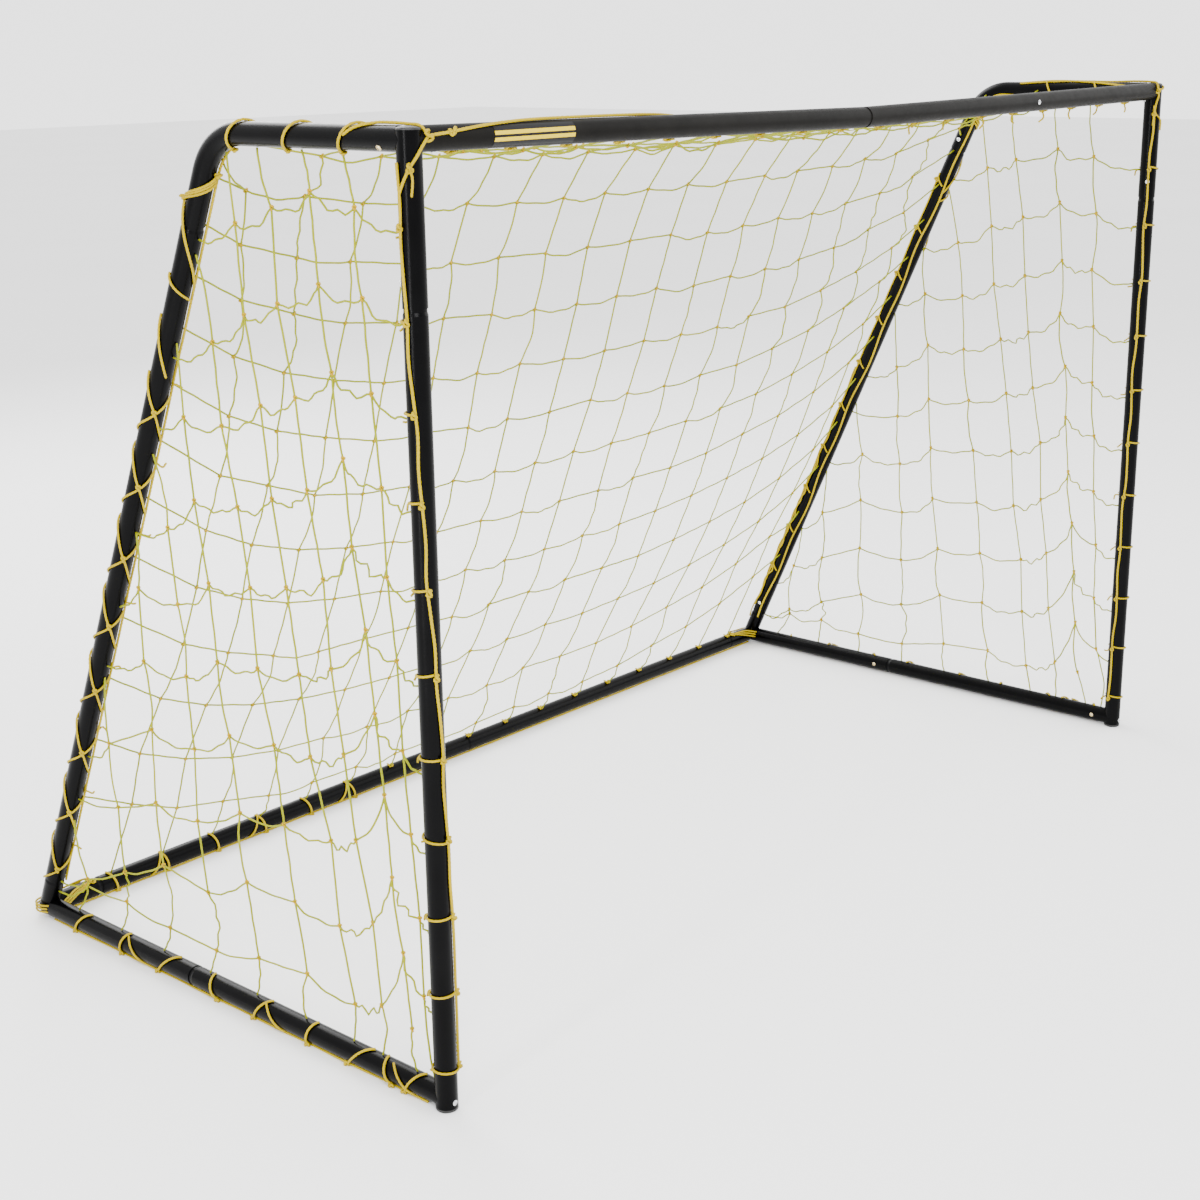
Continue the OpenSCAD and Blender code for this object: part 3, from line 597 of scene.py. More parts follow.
def back_links(rng):
    """The back net's knots and tied ends, the twines between them with their lengths, and which ends
    are tied to the frame."""
    points, links, fixed = {}, [], set()

    def tie(key, position, knot, slack, shortest):
        points[key] = position
        fixed.add(key)
        gap = np.linalg.norm(position - points[knot])
        return max(gap * slack, shortest)

    for j in range(1, BACK_ROWS + 1):
        s = row_run(j) if j < BACK_ROWS else middle_run[-1] - LAST_ROW_GAP
        row = [i for i in COLUMN_NUMBERS if abs(column_x(i, j)) < EDGE_X - EDGE_MARGIN]
        for i in row:
            points[i, j] = back_point(column_x(i, j), s) + rng.normal(size=3) * BACK_SCATTER
        links += [((i, j), (n, j), MESH_BAR) for i, n in zip(row, row[1:])]
        for side, i in ((LEFT, row[0]), (RIGHT, row[-1])):
            key = (side, f"row{j}")
            length = tie(key, edge_tie(side, s), (i, j), ROW_TIE_SLACK, SHORTEST_ROW_TIE)
            links.append(((i, j), key, length))
    for i in COLUMN_NUMBERS:
        rows = [j for j in range(1, BACK_ROWS + 1) if (i, j) in points]
        if not rows:
            continue
        links += [((i, j), (i, j + 1), MESH_BAR) for j in rows[:-1]]
        first, last = rows[0], rows[-1]
        if first > 1:
            top = edge_tie(LEFT, row_run(first) - COLUMN_END_WAY)
        elif abs(column_x(i, 0)) < EDGE_X:
            top = CROSSBAR.skin(column_x(i, 0) + POST_X, CROSSBAR_ROPE_TURN, TUBE_R + ROPE_R)
        else:
            top = edge_tie(LEFT if column_x(i, 0) < 0 else RIGHT, CORNER_TIE)
        length = tie((i, "top"), top, (i, first), COLUMN_TIE_SLACK, SHORTEST_TOP_TIE)
        links.append(((i, "top"), (i, first), length))
        if last == BACK_ROWS:
            foot = REAR_BAR.skin(column_x(i, last) + POST_X, REAR_TIE_TURN, TIE_REACH)
        else:
            foot = edge_tie(RIGHT, row_run(last) + COLUMN_END_WAY)
        length = tie((i, "foot"), foot, (i, last), COLUMN_TIE_SLACK, SHORTEST_FOOT_TIE)
        links.append(((i, last), (i, "foot"), length))
    return points, links, fixed


def back_net():
    """The net from the crossbar over the roof and down to the rear bar."""
    rng = np.random.default_rng(SEED)
    points, links, fixed = back_links(rng)
    points = settle(points, links, fixed)
    twine, knots = twine_strands(), twine_strands()
    for a, b, length in links:
        twine.add(hang(points[a], points[b], min(length, MESH_BAR), rng, BACK_DROOP), TWINE_R)
    for key, p in points.items():
        if key not in fixed:
            knots.add(knot_loop(p, (0, 0.6, -1), (1, 0, 0), NET_KNOT_SIZE, rng), NET_KNOT_R)
    twine.build("back_twine", NET_TWINE, "net_twine", ("back_net",))
    knots.build("back_knots", NET_KNOT, "net_twine")


# -------------------- ropes and lacing


def hitch(strands, rail, s, start, end, slant, radius=LACE_R, lift=0.0):
    """A turn of lacing round a tube from one angle to another, slanting along it."""
    count = 7
    keys = [(s + slant * (t - 0.5), start + (end - start) * t, lift * math.sin(math.pi * t))
            for t in np.linspace(0, 1, count)]
    strands.add(rail.follow(keys, radius), radius)


def rope_knot(strands, at, along, across, rng, size=0.0052):
    strands.add(knot_loop(at, along, across, size, rng), LACE_R * 1.15)


# A cut end's radius, how far it bends aside and how far its tip sinks, against its length.
END_R = LACE_R * 0.9
END_BEND, END_SINK = 0.35, 0.25


def loose_end(strands, start, heading, length, rng):
    """A short cut end of twine that stands off and curls a little."""
    heading = unit(heading)
    bend = unit(np.cross(heading, rng.normal(size=3))) * length * END_BEND
    tip = np.asarray(start) + heading * length + np.array([0, 0, -END_SINK * length])
    middle = (np.asarray(start) + tip) / 2 + bend
    strands.add(smooth_path([start, middle, tip], 0.003), END_R)


def wind(strands, rail, start, end, pitch, way, legs):
    """Lacing wound down a tube. In each pitch it passes the legs, given as (distance, turn)."""
    keys = []
    turns = 0
    while start + turns * pitch < end:
        keys += [(start + turns * pitch + s, turn + way * 360 * turns) for s, turn in legs]
        turns += 1
    strands.add(rail.follow([k for k in keys if k[0] < end], LACE_R), LACE_R)


def wander(start, end, step, turn, swing, wave):
    """Keys of a rope that wanders on a tube: swing degrees either way of a turn, as a sine of s."""
    keys = []
    s = start
    while s < end:
        keys.append((s, turn + swing * math.sin(s * wave)))
        s += step
    return keys


def border_rope(rail, keys, radius, name, node):
    rope = rope_strands()
    rope.add(rail.follow(keys, ROPE_R), radius)
    rope.build(name, ROPE, "border_cord", (node,))


# A rope that runs under a bar on the ground is pressed a little thinner.
UNDER_ROPE_R = ROPE_R * 0.9
# The post's rope: its gaps from the post's two ends, its turn at each of them, and its steps.
POST_ROPE_TOP, POST_ROPE_FOOT = 0.045, 0.062
POST_ROPE_TURNS = {LEFT: (165, 330), RIGHT: (215, 175)}
POST_ROPE_STEPS = 26


def post_ropes(side, name):
    """The rope down a post, and the loops that tie the net to it. Returns the strands of the loops."""
    rng = np.random.default_rng(SEED + 20 + side)
    rail = POSTS[side]
    lacing = rope_strands()
    start, end = POST_ROPE_TOP, CAP_TOP_Z - POST_ROPE_FOOT
    first, last = POST_ROPE_TURNS[side]
    keys = []
    for n in range(POST_ROPE_STEPS + 1):
        t = n / POST_ROPE_STEPS
        wobble = 5 * math.sin(n * 2.1) + 3 * math.sin(n * 0.9 + 1)
        keys.append((start + (end - start) * t, first + (last - first) * t + wobble))
    border_rope(rail, keys, ROPE_R, f"{name}_post_rope", f"{name}_post_cord")
    s = CAP_TOP_Z - SIDE_NETS[side]["first"] + POST_DROP
    while s < end:
        rope_turn = first + (last - first) * (s - start) / (end - start)
        if side == LEFT:
            hitch(lacing, rail, s, 80, rope_turn - 8, 0.012 * rng.uniform(-1, 1))
        else:
            hitch(lacing, rail, s, rope_turn, 360, 0.010 * rng.uniform(0.2, 1))
            hitch(lacing, rail, s - 0.004, 0, 90, 0.006)
        at = rail.skin(s, rope_turn, ROPE_KNOT_REACH)
        rope_knot(lacing, at, (0, 0, 1), (1, 0, 0), rng, 0.0042)
        loose_end(lacing, rail.skin(s + 0.004, 80, END_REACH), (0.2 * side, 1, -0.6), 0.016, rng)
        s += SIDE_NETS[side]["pitch"]
    return lacing


def on_post(side, keys):
    """Points of a rope on a post's skin, from keys of (distance, turn)."""
    return [POSTS[side].skin(s, turn, ROPE_REACH) for s, turn in keys]


def top_corner_lacing(side, lacing, rng):
    """The cord that comes over the top bar, forks on the front of the post and runs along the bar."""
    x = side * POST_X
    fork = np.array([x - side * 0.0175, -TUBE_R * 0.93 - ROPE_R, BAR_Z + 0.004])
    if side == LEFT:
        overs = [[(x - 0.0175, 0.105, BAR_Z + 0.004), (x - 0.012, 0.085, BAR_Z + 0.0145),
                  (x - 0.001, 0.058, BAR_Z + 0.0195), (x + 0.0005, 0.030, BAR_Z + 0.0200),
                  (x + 0.004, 0.004, CAP_TOP_Z + 0.0018), (x + 0.010, -0.0115, CAP_TOP_Z - 0.0005)]]
        down_keys = ((0.026, 285), (0.038, 255), (0.052, 225), (0.068, 200), (0.085, 175))
    else:
        overs = [[(x - 0.012, 0.30, BAR_Z + 0.0145), (x - 0.004, 0.20, BAR_Z + 0.019),
                  (x + 0.006, 0.10, BAR_Z + 0.018), (x + 0.002, 0.045, BAR_Z + 0.0195),
                  (x - 0.004, 0.004, CAP_TOP_Z + 0.0018), (x - 0.010, -0.0115, CAP_TOP_Z - 0.0005)],
                 [(x + 0.012, 0.31, BAR_Z + 0.0145), (x + 0.004, 0.22, BAR_Z + 0.0195),
                  (x - 0.009, 0.13, BAR_Z + 0.0170), (x - 0.015, 0.06, BAR_Z + 0.0110),
                  (x - 0.019, 0.022, BAR_Z + 0.0075), (x - 0.0195, 0.0, BAR_Z + 0.006)]]
        down_keys = ((0.026, 240), (0.040, 228), (0.060, 220), (0.085, 216))
    for over in overs:
        lacing.add(smooth_path(over + [fork], ROPE_STEP), ROPE_R)
    if side == LEFT:
        along = CROSSBAR.follow([(0.055, 22), (0.10, 38), (0.16, 58), (0.22, 74), (0.30, 86), (0.42, 97),
                                 (0.52, 120), (0.60, 160), (0.66, 205)], ROPE_R)
        lacing.add(smooth_path([fork, along[0]], ROPE_STEP), ROPE_R)
        lacing.add(along, ROPE_R)
        rope_knot(lacing, along[2], (1, 0, 0), (0, 0, 1), rng)
    else:
        around = on_post(side, ((0.013, 268), (0.009, 300), (0.007, 335), (0.010, 370), (0.016, 405)))
        lacing.add(smooth_path([fork] + around, ROPE_STEP), ROPE_R)
    down = [fork] + on_post(side, down_keys)
    lacing.add(smooth_path(down, ROPE_STEP), ROPE_R)
    rope_knot(lacing, fork, (0, 0, 1), (1, 0, 0), rng, 0.0066)
    rope_knot(lacing, down[3], (0, 0, 1), (1, 0, 0), rng)
    loose_end(lacing, down[3], (0.3 * side, -0.4, -1), 0.03, rng)


# Where single turns go round each top bar. The wound turn starts below the bend.
WRAPS = {LEFT: (0.100, 0.211, 0.330), RIGHT: (0.14, 0.25)}
BELOW_BEND = STANCHION_START + 0.020
# The rope along the top bar and the stanchion: its gaps from the two ends, and its step.
REAR_ROPE_TOP, REAR_ROPE_FOOT, REAR_ROPE_STEP = 0.045, 0.062, 0.03


def side_lacing(side, name, lacing):
    """Rope along the top bar and the stanchion. Adds its wraps and the stanchion's lacing to lacing."""
    rng = np.random.default_rng(SEED + 40 + side)
    rail = SIDE_RAILS[side]
    keys = [(s, turn + 5 * math.sin(s * 13 + 1))
            for s, turn in wander(REAR_ROPE_TOP, rail.length - REAR_ROPE_FOOT, REAR_ROPE_STEP, 218, 7, 31)]
    border_rope(rail, keys, ROPE_R, f"{name}_rear_rope", f"{name}_rear_cord")
    top_corner_lacing(side, lacing, rng)
    for at in WRAPS[side]:
        hitch(lacing, rail, at, 205, -95, 0.055, THICK_LACE_R)
        rope_knot(lacing, rail.skin(at + 0.027, -95, WRAP_REACH), (0, 1, 0), (1, 0, 0), rng, 0.004)
    for shift in (0.0, 0.004, 0.009):
        hitch(lacing, rail, BELOW_BEND + shift, 62, -138, shift - 0.052, THICK_LACE_R)
    rope_knot(lacing, rail.skin(BELOW_BEND - 0.022, -115, WRAP_REACH), (0, 1, 0), (1, 0, 0), rng)
    rope_knot(lacing, rail.skin(BELOW_BEND + 0.026, 48, WRAP_REACH), (0, 1, 0), (1, 0, 0), rng)
    hitch(lacing, rail, BELOW_BEND + 0.094, 50, -138, 0.138, THICK_LACE_R)
    hitch(lacing, rail, BELOW_BEND + 0.164, 48, -138, 0.036)
    hitch(lacing, rail, BELOW_BEND + 0.260, 48, -70, 0.093)
    if side == LEFT:
        crossed_lacing(lacing, rail, rng)
    else:
        bundled_lacing(lacing, rail, rng)
    lacing.build(f"{name}_frame_lacing", ROPE, "border_cord")


def crossed_lacing(lacing, rail, rng):
    """The left stanchion's lacing: a long and a short strand that cross once every pitch."""
    pitch = 0.135
    start = STANCHION_START + 0.33
    end = rail.length - 0.055
    wind(lacing, rail, start, end, pitch, -1, ((0.0, 45), (0.057, -48), (0.115, -140)))
    wind(lacing, rail, start, end, pitch, 1, ((0.03, -140), (0.065, -48), (0.10, 45)))
    for s in np.arange(start, end - 0.04, pitch):
        rope_knot(lacing, rail.skin(s + 0.06, -52, CROSS_REACH), (0, 0, 1), (0, 1, 0), rng, 0.0036)
        loose_end(lacing, rail.skin(s + 0.02, -140, END_REACH), (0.3, -1, 0.3), 0.02, rng)


def bundled_lacing(lacing, rail, rng):
    """The right stanchion's lacing: strands gathered along its inner rear edge, more of them low down."""
    stanchion = rail.length - STANCHION_START
    for n, (start, end) in enumerate(((0.10, 0.95), (0.45, 0.97), (0.55, 0.93), (0.62, 0.90))):
        places = np.arange(STANCHION_START + start * stanchion, STANCHION_START + end * stanchion, 0.018)
        turn, swing, wave = 143 + 4 * n, 6 + 5 * n, 41 + 13 * n
        keys = [(s, turn + swing * math.sin(s * wave + 2 * n) * rng.uniform(0.4, 1.0),
                 0.0025 * abs(math.sin(s * 23 + n)) * (n > 0)) for s in places]
        lacing.add(rail.follow(keys, LACE_R), LACE_R)
    for s in np.arange(STANCHION_START + 0.16, rail.length - 0.1, 0.118):
        hitch(lacing, rail, s, 145, 205, 0.014)
        rope_knot(lacing, rail.skin(s, 145, WRAP_REACH), (0, 0, 1), (0, 1, 0), rng, 0.0044)


# Slants of the turns round a side ground bar, used in order.
GROUND_SLANTS = (0.035, -0.02, 0.05, 0.012)


def ground_lacing(side, name):
    """Rope under a side ground bar, with a slanted turn at the foot of each column."""
    rng = np.random.default_rng(SEED + 60 + side)
    rail = GROUND_RAILS[side]
    lacing = rope_strands()
    keys = wander(TUBE_R + 0.012, REAR_Y - TUBE_R, 0.02, -62, 5, 37)
    border_rope(rail, keys, UNDER_ROPE_R, f"{name}_ground_rope", f"{name}_ground_cord")
    feet = [foot for foot in COLUMN_FEET if foot > 0.05]
    for n, foot in enumerate(feet):
        slant = GROUND_SLANTS[n % len(GROUND_SLANTS)]
        hitch(lacing, rail, foot, 100, -58, slant, THICK_LACE_R)
        if n % 3 == 1:
            hitch(lacing, rail, foot - 0.035, -58, 70, 0.05)
        at = rail.skin(foot + slant / 2, -50, WRAP_REACH)
        rope_knot(lacing, at, (0, 1, 0), (0, 0, 1), rng, 0.0042)
    lacing.build(f"{name}_ground_lacing", ROPE, "border_cord")


def corner_wrap(lacing, side, rng):
    """Cord drawn round the outside of a rear corner and knotted to the rear bar near it."""
    reach = TUBE_R + 0.0055
    bar_top = GROUND_Z + TIE_REACH
    knot = np.array([side * (POST_X - 0.085), REAR_Y - TUBE_R * 0.5, bar_top])
    for n in range(3):
        z = GROUND_Z - 0.004 + 0.006 * n
        # Each place on the loop: how far in from the corner, how far behind it, and its height.
        places = [(0.045, -TUBE_R - 0.003, z + 0.012), (0.004, -0.030, z), (-0.017, -0.016, z),
                  (-reach, 0.001, z), (-0.016, 0.016, z), (0.0, reach, z),
                  (0.045, END_REACH, z + 0.004), (0.080, 0.010, bar_top)]
        loop = [(side * (POST_X - inward), REAR_Y + behind, height) for inward, behind, height in places]
        lacing.add(smooth_path([knot] + loop + [knot], ROPE_STEP), LACE_R)
    rope_knot(lacing, knot, (1, 0, 0), (0, 1, 0), rng, 0.006)


# Left of this place the rear bar has whole turns round it, right of it only short ties.
WHOLE_TURNS_TO_X = -0.25


def rear_bar_lacing():
    """Rope under the rear ground bar, the turns that tie the back net to it, and the corner wraps."""
    rng = np.random.default_rng(SEED + 80)
    lacing = rope_strands()
    keys = wander(TUBE_R + 0.005, 2 * POST_X - TUBE_R, 0.02, -64, 4, 29)
    border_rope(REAR_BAR, keys, UNDER_ROPE_R, "rear_ground_rope", "rear_ground_cord")
    for i in COLUMN_NUMBERS:
        x = column_x(i, BACK_ROWS)
        if abs(x) > EDGE_X - 0.03:
            continue
        s = x + POST_X
        if x < WHOLE_TURNS_TO_X:
            slant = rng.uniform(0.008, 0.02)
            hitch(lacing, REAR_BAR, s, 95, -60, slant, LACE_R * 1.15)
            if i % 2:
                hitch(lacing, REAR_BAR, s - 0.018, 100, -55, -0.035)
            at = REAR_BAR.skin(s + slant / 2, -55, WRAP_REACH)
        else:
            hitch(lacing, REAR_BAR, s, 60, 110, 0.006)
            at = REAR_BAR.skin(s, 70, WRAP_REACH)
        rope_knot(lacing, at, (1, 0, 0), (0, 1, 0), rng, 0.004)
    corner_wrap(lacing, LEFT, rng)
    corner_wrap(lacing, RIGHT, rng)
    lacing.build("rear_bar_lacing", ROPE, "border_cord")


def crossbar_lacing():
    """Rope behind the crossbar and a knot on it for each column of the back net."""
    rng = np.random.default_rng(SEED + 90)
    lacing = rope_strands()
    gap = 0.024
    keys = wander(gap, 2 * POST_X - gap, 0.03, CROSSBAR_ROPE_TURN, 4, 27)
    border_rope(CROSSBAR, keys, ROPE_R, "crossbar_rope", "crossbar_cord")
    for i in COLUMN_NUMBERS:
        x = column_x(i, 0)
        if abs(x) > EDGE_X:
            continue
        s = x + POST_X
        at = CROSSBAR.skin(s, CROSSBAR_ROPE_TURN + 8, ROPE_KNOT_REACH)
        rope_knot(lacing, at, (1, 0, 0), (0, 1, 0), rng, 0.0044)
        hitch(lacing, CROSSBAR, s + 0.006, 225, 250, 0.012, lift=0.002)
        if x > 0.1:
            loose_end(lacing, at, (rng.uniform(-1, 1), 0.2, -1), 0.018, rng)
    lacing.build("crossbar_lacing", ROPE, "border_cord")


# -------------------- materials


def new_material(name):
    material = bpy.data.materials.new(name)
    material.use_nodes = True
    tree = material.node_tree
    tree.nodes.clear()
    shader = tree.nodes.new("ShaderNodeBsdfPrincipled")
    output = tree.nodes.new("ShaderNodeOutputMaterial")
    tree.links.new(shader.outputs["BSDF"], output.inputs["Surface"])
    return material, tree, shader


def noise(tree, scale, detail=4.0):
    node = tree.nodes.new("ShaderNodeTexNoise")
    node.inputs["Scale"].default_value = scale
    node.inputs["Detail"].default_value = detail
    tree.links.new(tree.nodes.new("ShaderNodeTexCoord").outputs["Object"], node.inputs["Vector"])
    return node.outputs["Fac"]


def ramp(tree, fac, stops, interpolation="LINEAR"):
    node = tree.nodes.new("ShaderNodeValToRGB")
    node.color_ramp.interpolation = interpolation
    elements = node.color_ramp.elements
    while len(elements) < len(stops):
        elements.new(0.5)
    for element, (place, colour) in zip(elements, stops):
        element.position = place
        element.color = (*colour, 1.0)
    tree.links.new(fac, node.inputs["Fac"])
    return node.outputs["Color"]


def map_range(tree, fac, low, high):
    node = tree.nodes.new("ShaderNodeMapRange")
    node.inputs["To Min"].default_value = low
    node.inputs["To Max"].default_value = high
    tree.links.new(fac, node.inputs["Value"])
    return node.outputs["Result"]


def bump(tree, shader, height, strength, distance):
    node = tree.nodes.new("ShaderNodeBump")
    node.inputs["Strength"].default_value = strength
    node.inputs["Distance"].default_value = distance
    tree.links.new(height, node.inputs["Height"])
    tree.links.new(node.outputs["Normal"], shader.inputs["Normal"])


def painted_metal(name, dark, light, rough_low, rough_high, gloss):
    """Powder coat: fine orange peel, slightly uneven gloss, faint dust and handling marks."""
    material, tree, shader = new_material(name)
    cloud = noise(tree, 14.0)
    tree.links.new(ramp(tree, cloud, [(0.35, dark), (0.7, light)]), shader.inputs["Base Color"])
    patches = noise(tree, 60.0, 6.0)
    tree.links.new(map_range(tree, patches, rough_low, rough_high), shader.inputs["Roughness"])
    shader.inputs["Specular IOR Level"].default_value = gloss
    bump(tree, shader, noise(tree, 900.0, 2.0), 0.25, 0.0004)
    return material


def moulded_plastic(name, colour):
    """Moulded caps: a little lighter in patches, with a fine grain."""
    material, tree, shader = new_material(name)
    cloud = noise(tree, 40.0)
    light = tuple(c * 1.8 for c in colour)
    tree.links.new(ramp(tree, cloud, [(0.3, colour), (0.8, light)]), shader.inputs["Base Color"])
    tree.links.new(map_range(tree, noise(tree, 220.0), 0.38, 0.6), shader.inputs["Roughness"])
    bump(tree, shader, noise(tree, 1400.0, 3.0), 0.35, 0.0003)
    return material


def plated_steel(name, dark, light):
    """Zinc plating with an uneven sheen."""
    material, tree, shader = new_material(name)
    cloud = noise(tree, 260.0)
    tree.links.new(ramp(tree, cloud, [(0.3, dark), (0.7, light)]), shader.inputs["Base Color"])
    shader.inputs["Metallic"].default_value = 1.0
    tree.links.new(map_range(tree, noise(tree, 700.0), 0.22, 0.45), shader.inputs["Roughness"])
    bump(tree, shader, noise(tree, 2200.0, 2.0), 0.2, 0.0001)
    return material


def twisted_twine(name, dark, mid, light, plies, depth, rough):
    """Laid plastic twine: its plies wind round it along the strand's own coordinates. The grooves between
    the plies carry painted shade, darker than the crowns.
    """
    material, tree, shader = new_material(name)
    uv = tree.nodes.new("ShaderNodeUVMap")
    uv.uv_map = "strand"
    mapping = tree.nodes.new("ShaderNodeMapping")
    mapping.inputs["Rotation"].default_value = (0.0, 0.0, math.radians(45))
    mapping.inputs["Scale"].default_value = (plies, plies * 0.5, 1.0)
    tree.links.new(uv.outputs["UV"], mapping.inputs["Vector"])
    wave = tree.nodes.new("ShaderNodeTexWave")
    wave.inputs["Scale"].default_value = 1.0
    wave.inputs["Distortion"].default_value = 1.2
    wave.inputs["Detail"].default_value = 2.0
    tree.links.new(mapping.outputs["Vector"], wave.inputs["Vector"])
    patch = noise(tree, 9.0, 5.0)
    fine = noise(tree, 400.0, 3.0)
    # Painted shade: the ply wave darkens the grooves between the plies and lightens their crowns; the
    # patch noise is the twine's own uneven tone.
    ply_shade_and_tone = tree.nodes.new("ShaderNodeMath")
    ply_shade_and_tone.operation = "MULTIPLY_ADD"
    ply_shade_and_tone.inputs[1].default_value = 0.35
    tree.links.new(wave.outputs["Fac"], ply_shade_and_tone.inputs[0])
    tree.links.new(map_range(tree, patch, 0.0, 0.65), ply_shade_and_tone.inputs[2])
    colours = ramp(tree, ply_shade_and_tone.outputs["Value"], [(0.1, dark), (0.5, mid), (0.9, light)])
    tree.links.new(colours, shader.inputs["Base Color"])
    tree.links.new(map_range(tree, fine, rough - 0.1, rough + 0.15), shader.inputs["Roughness"])
    shader.inputs["Specular IOR Level"].default_value = 0.12
    bump(tree, shader, wave.outputs["Fac"], 0.7, depth)
    return material


def striped_label(name):
    """A plain printed label: charcoal with two even stripes across its length."""
    material, tree, shader = new_material(name)
    coordinate = tree.nodes.new("ShaderNodeTexCoord").outputs["Object"]
    split = tree.nodes.new("ShaderNodeSeparateXYZ")
    tree.links.new(coordinate, split.inputs["Vector"])
    low, high = node_box("crossbar_label")
    height = tree.nodes.new("ShaderNodeMapRange")
    height.inputs["From Min"].default_value = low[2]
    height.inputs["From Max"].default_value = high[2]
    tree.links.new(split.outputs["Z"], height.inputs["Value"])
    charcoal, yellow = (0.003, 0.003, 0.0035), (0.62, 0.44, 0.001)
    bands = [(0.0, charcoal), (0.26, yellow), (0.44, charcoal), (0.56, yellow), (0.74, charcoal)]
    striped = ramp(tree, height.outputs["Result"], bands, "CONSTANT")
    tree.links.new(striped, shader.inputs["Base Color"])
    shader.inputs["Specular IOR Level"].default_value = 0.12
    tree.links.new(map_range(tree, noise(tree, 120.0), 0.3, 0.45), shader.inputs["Roughness"])
    bump(tree, shader, noise(tree, 300.0), 0.05, 0.0002)
    return material


BLACK = painted_metal("powder_coat_black", (0.0003, 0.0003, 0.0004), (0.0010, 0.0010, 0.0012), 0.18, 0.30,
                      0.06)
BLACK_BAR = painted_metal("powder_coat_crossbar", (0.0035, 0.0032, 0.0027), (0.0060, 0.0055, 0.0047), 0.34,
                          0.5, 0.04)
PLASTIC = moulded_plastic("cap_black", (0.004, 0.004, 0.004))
BRIGHT_ZINC = plated_steel("bright_zinc", (0.62, 0.63, 0.65), (0.86, 0.87, 0.88))
YELLOW_ZINC = plated_steel("yellow_zinc", (0.52, 0.40, 0.20), (0.78, 0.66, 0.40))
LABEL = striped_label("plain_label")
# The colours of the net twine, the knots and the rope are each laid over painted shade in the grooves
# between their plies.
NET_TWINE = twisted_twine("net_twine", (0.15, 0.18, 0.0), (0.25, 0.27, 0.0), (0.36, 0.31, 0.0), 4,
                          0.0003, 0.6)
NET_KNOT = twisted_twine("net_knot", (0.34, 0.19, 0.0), (0.44, 0.26, 0.0), (0.52, 0.33, 0.0), 4,
                         0.0003, 0.6)
ROPE = twisted_twine("border_rope", (0.26, 0.175, 0.0), (0.39, 0.28, 0.0), (0.50, 0.37, 0.0), 3,
                     0.0004, 0.55)

SLOT_LOOKS = {"frame_black": BLACK, "cap_plastic": PLASTIC, "bright_zinc": BRIGHT_ZINC,
              "yellow_zinc": YELLOW_ZINC, "label": LABEL}


def dress_frame():
    """Gives every CAD node the finish of its material slot."""
    slots = {part["node"]: part["material_slot"] for part in frame["record"]["subparts"]}
    for node, piece in frame["nodes"].items():
        look = SLOT_LOOKS.get(slots.get(node))
        if look is None:
            continue
        if node.startswith("crossbar_") and slots[node] == "frame_black":
            look = BLACK_BAR
        piece.data.materials.clear()
        piece.data.materials.append(look)


# -------------------- floor, light and camera


# The camera that was fitted to the photograph's tubes: its place in the goal's own frame, where it
# looks, and its lens on a 36 mm sensor.
CAMERA_PLACE = (-2.7674, POST_Y - 1.8168, 1.5032)
VIEW_AZIMUTH, VIEW_ELEVATION, VIEW_ROLL = math.radians(48.76), math.radians(-16.35), math.radians(-0.765)
LENS_MM, SENSOR_MM = 57.52, 36.0
CLIP_END = 100.0
FLOOR_HALF = 30.0
# The studio's strength in front of the goal and behind it, and where one goes over into the other, as
# the cosine of the angle from the direction of view.
DIM_SIDE, BRIGHT_SIDE = 1.0, 2.7
DIM_UNTIL, BRIGHT_FROM = -0.9, 0.3
# Each lamp's place, its width and height, and its power in watts.
LAMPS = {
    "key_light": ((-3.2, -3.6, 3.6), (2.2, 2.2), 330.0),
    "strip_light": ((-4.6, -0.9, 1.3), (0.35, 2.6), 95.0),
    "fill_light": ((3.5, -2.5, 2.6), (3.0, 3.0), 60.0),
    "rim_light": ((1.0, 3.8, 3.4), (3.0, 3.0), 240.0),
}
LAMP_TARGET = Vector((0, 0, 0.6))


def pale_floor():
    corners = [(-FLOOR_HALF, -FLOOR_HALF, 0), (FLOOR_HALF, -FLOOR_HALF, 0), (FLOOR_HALF, FLOOR_HALF, 0),
               (-FLOOR_HALF, FLOOR_HALF, 0)]
    mesh = bpy.data.meshes.new("floor")
    mesh.from_pydata(corners, [], [(0, 1, 2, 3)])
    material, tree, shader = new_material("pale_floor")
    pale = ramp(tree, noise(tree, 0.6), [(0.3, (0.95, 0.95, 0.95)), (0.7, (0.98, 0.98, 0.98))])
    tree.links.new(pale, shader.inputs["Base Color"])
    shader.inputs["Roughness"].default_value = 0.85
    mesh.materials.append(material)
    floor = bpy.data.objects.new("floor", mesh)
    bpy.context.scene.collection.objects.link(floor)


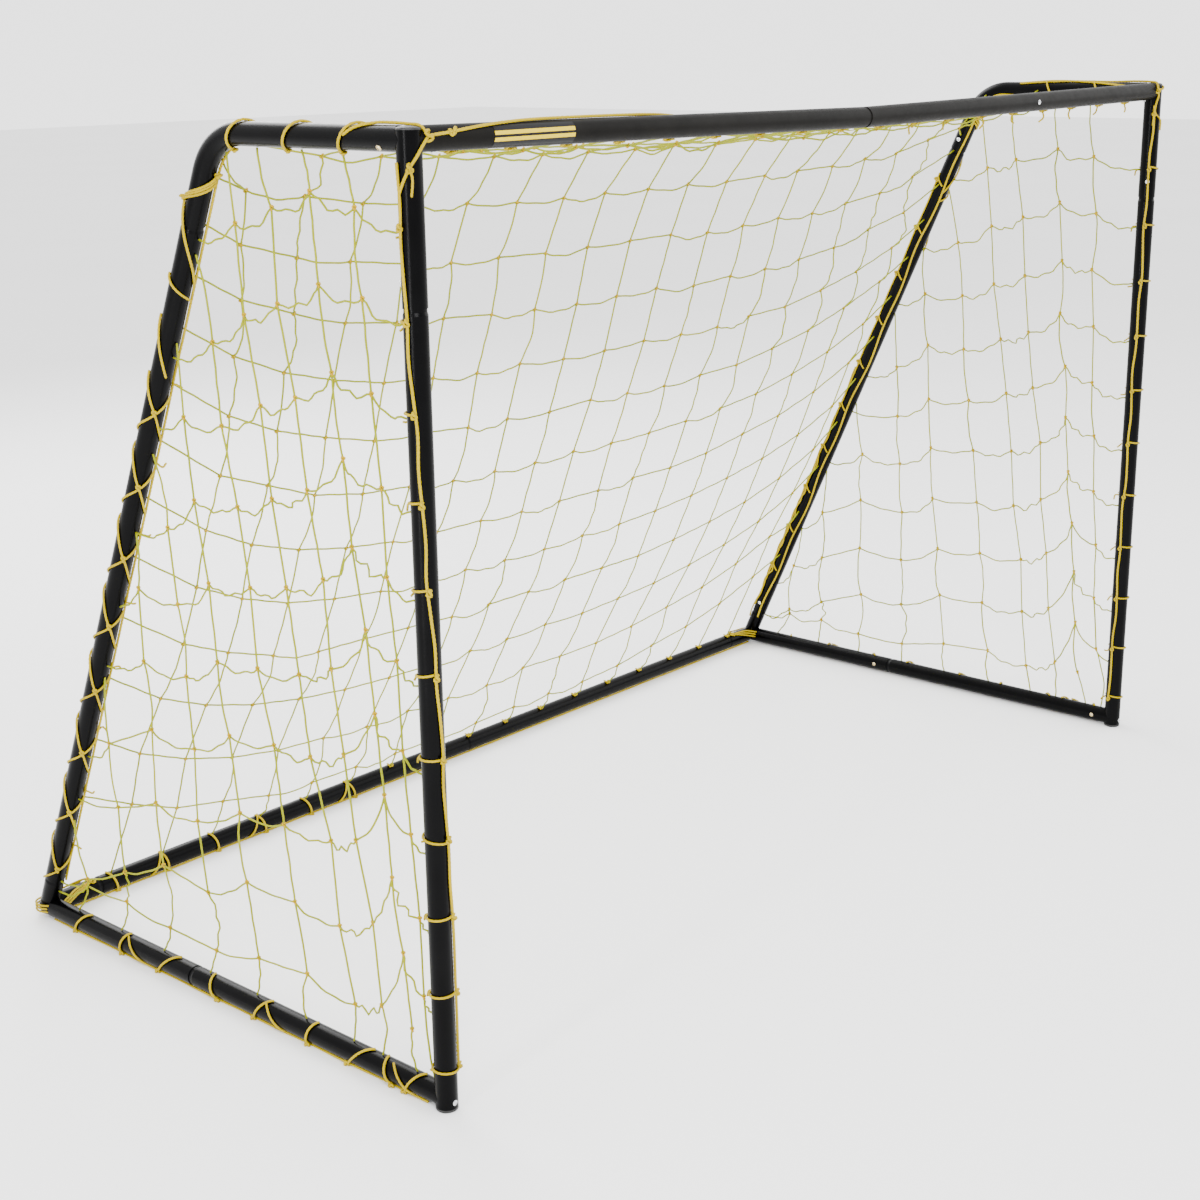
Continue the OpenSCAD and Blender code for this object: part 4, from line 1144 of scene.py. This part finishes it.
def studio_glow():
    """A studio that is brighter behind the goal than in front of it."""
    world = bpy.data.worlds.new("studio")
    bpy.context.scene.world = world
    world.use_nodes = True
    tree = world.node_tree
    background = tree.nodes["Background"]
    background.inputs["Color"].default_value = (1.0, 1.0, 1.0, 1.0)
    facing = tree.nodes.new("ShaderNodeVectorMath")
    facing.operation = "DOT_PRODUCT"
    facing.inputs[1].default_value = (math.sin(VIEW_AZIMUTH), math.cos(VIEW_AZIMUTH), 0.0)
    tree.links.new(tree.nodes.new("ShaderNodeTexCoord").outputs["Generated"], facing.inputs[0])
    glow = tree.nodes.new("ShaderNodeMapRange")
    glow.inputs["From Min"].default_value = DIM_UNTIL
    glow.inputs["From Max"].default_value = BRIGHT_FROM
    glow.inputs["To Min"].default_value = DIM_SIDE
    glow.inputs["To Max"].default_value = BRIGHT_SIDE
    tree.links.new(facing.outputs["Value"], glow.inputs["Value"])
    tree.links.new(glow.outputs["Result"], background.inputs["Strength"])


def soft_lamps():
    for name, (place, (width, height), power) in LAMPS.items():
        data = bpy.data.lights.new(name, "AREA")
        data.shape = "RECTANGLE"
        data.size = width
        data.size_y = height
        data.energy = power
        light = bpy.data.objects.new(name, data)
        light.location = place
        light.rotation_euler = (LAMP_TARGET - Vector(place)).to_track_quat("-Z", "Y").to_euler()
        bpy.context.scene.collection.objects.link(light)


def camera():
    """The photograph's view: from the front left, a little above the crossbar."""
    level_part = math.cos(VIEW_ELEVATION)
    forward = Vector((math.sin(VIEW_AZIMUTH) * level_part, math.cos(VIEW_AZIMUTH) * level_part,
                      math.sin(VIEW_ELEVATION)))
    level = forward.cross(Vector((0, 0, 1))).normalized()
    right = Matrix.Rotation(VIEW_ROLL, 3, -forward) @ level
    up = right.cross(forward)
    data = bpy.data.cameras.new("camera")
    data.sensor_width = SENSOR_MM
    data.lens = LENS_MM
    data.clip_end = CLIP_END
    cam = bpy.data.objects.new("camera", data)
    axes = Matrix((right, up, -forward)).transposed().to_4x4()
    cam.matrix_world = Matrix.Translation(CAMERA_PLACE) @ axes
    bpy.context.scene.collection.objects.link(cam)
    bpy.context.scene.camera = cam


# -------------------- the whole goal

dress_frame()
side_net(LEFT)
side_net(RIGHT)
back_net()
for side in (LEFT, RIGHT):
    side_name = SIDE_NETS[side]["name"]
    side_lacing(side, side_name, post_ropes(side, side_name))
    ground_lacing(side, side_name)
rear_bar_lacing()
crossbar_lacing()
pale_floor()
studio_glow()
soft_lamps()
camera()
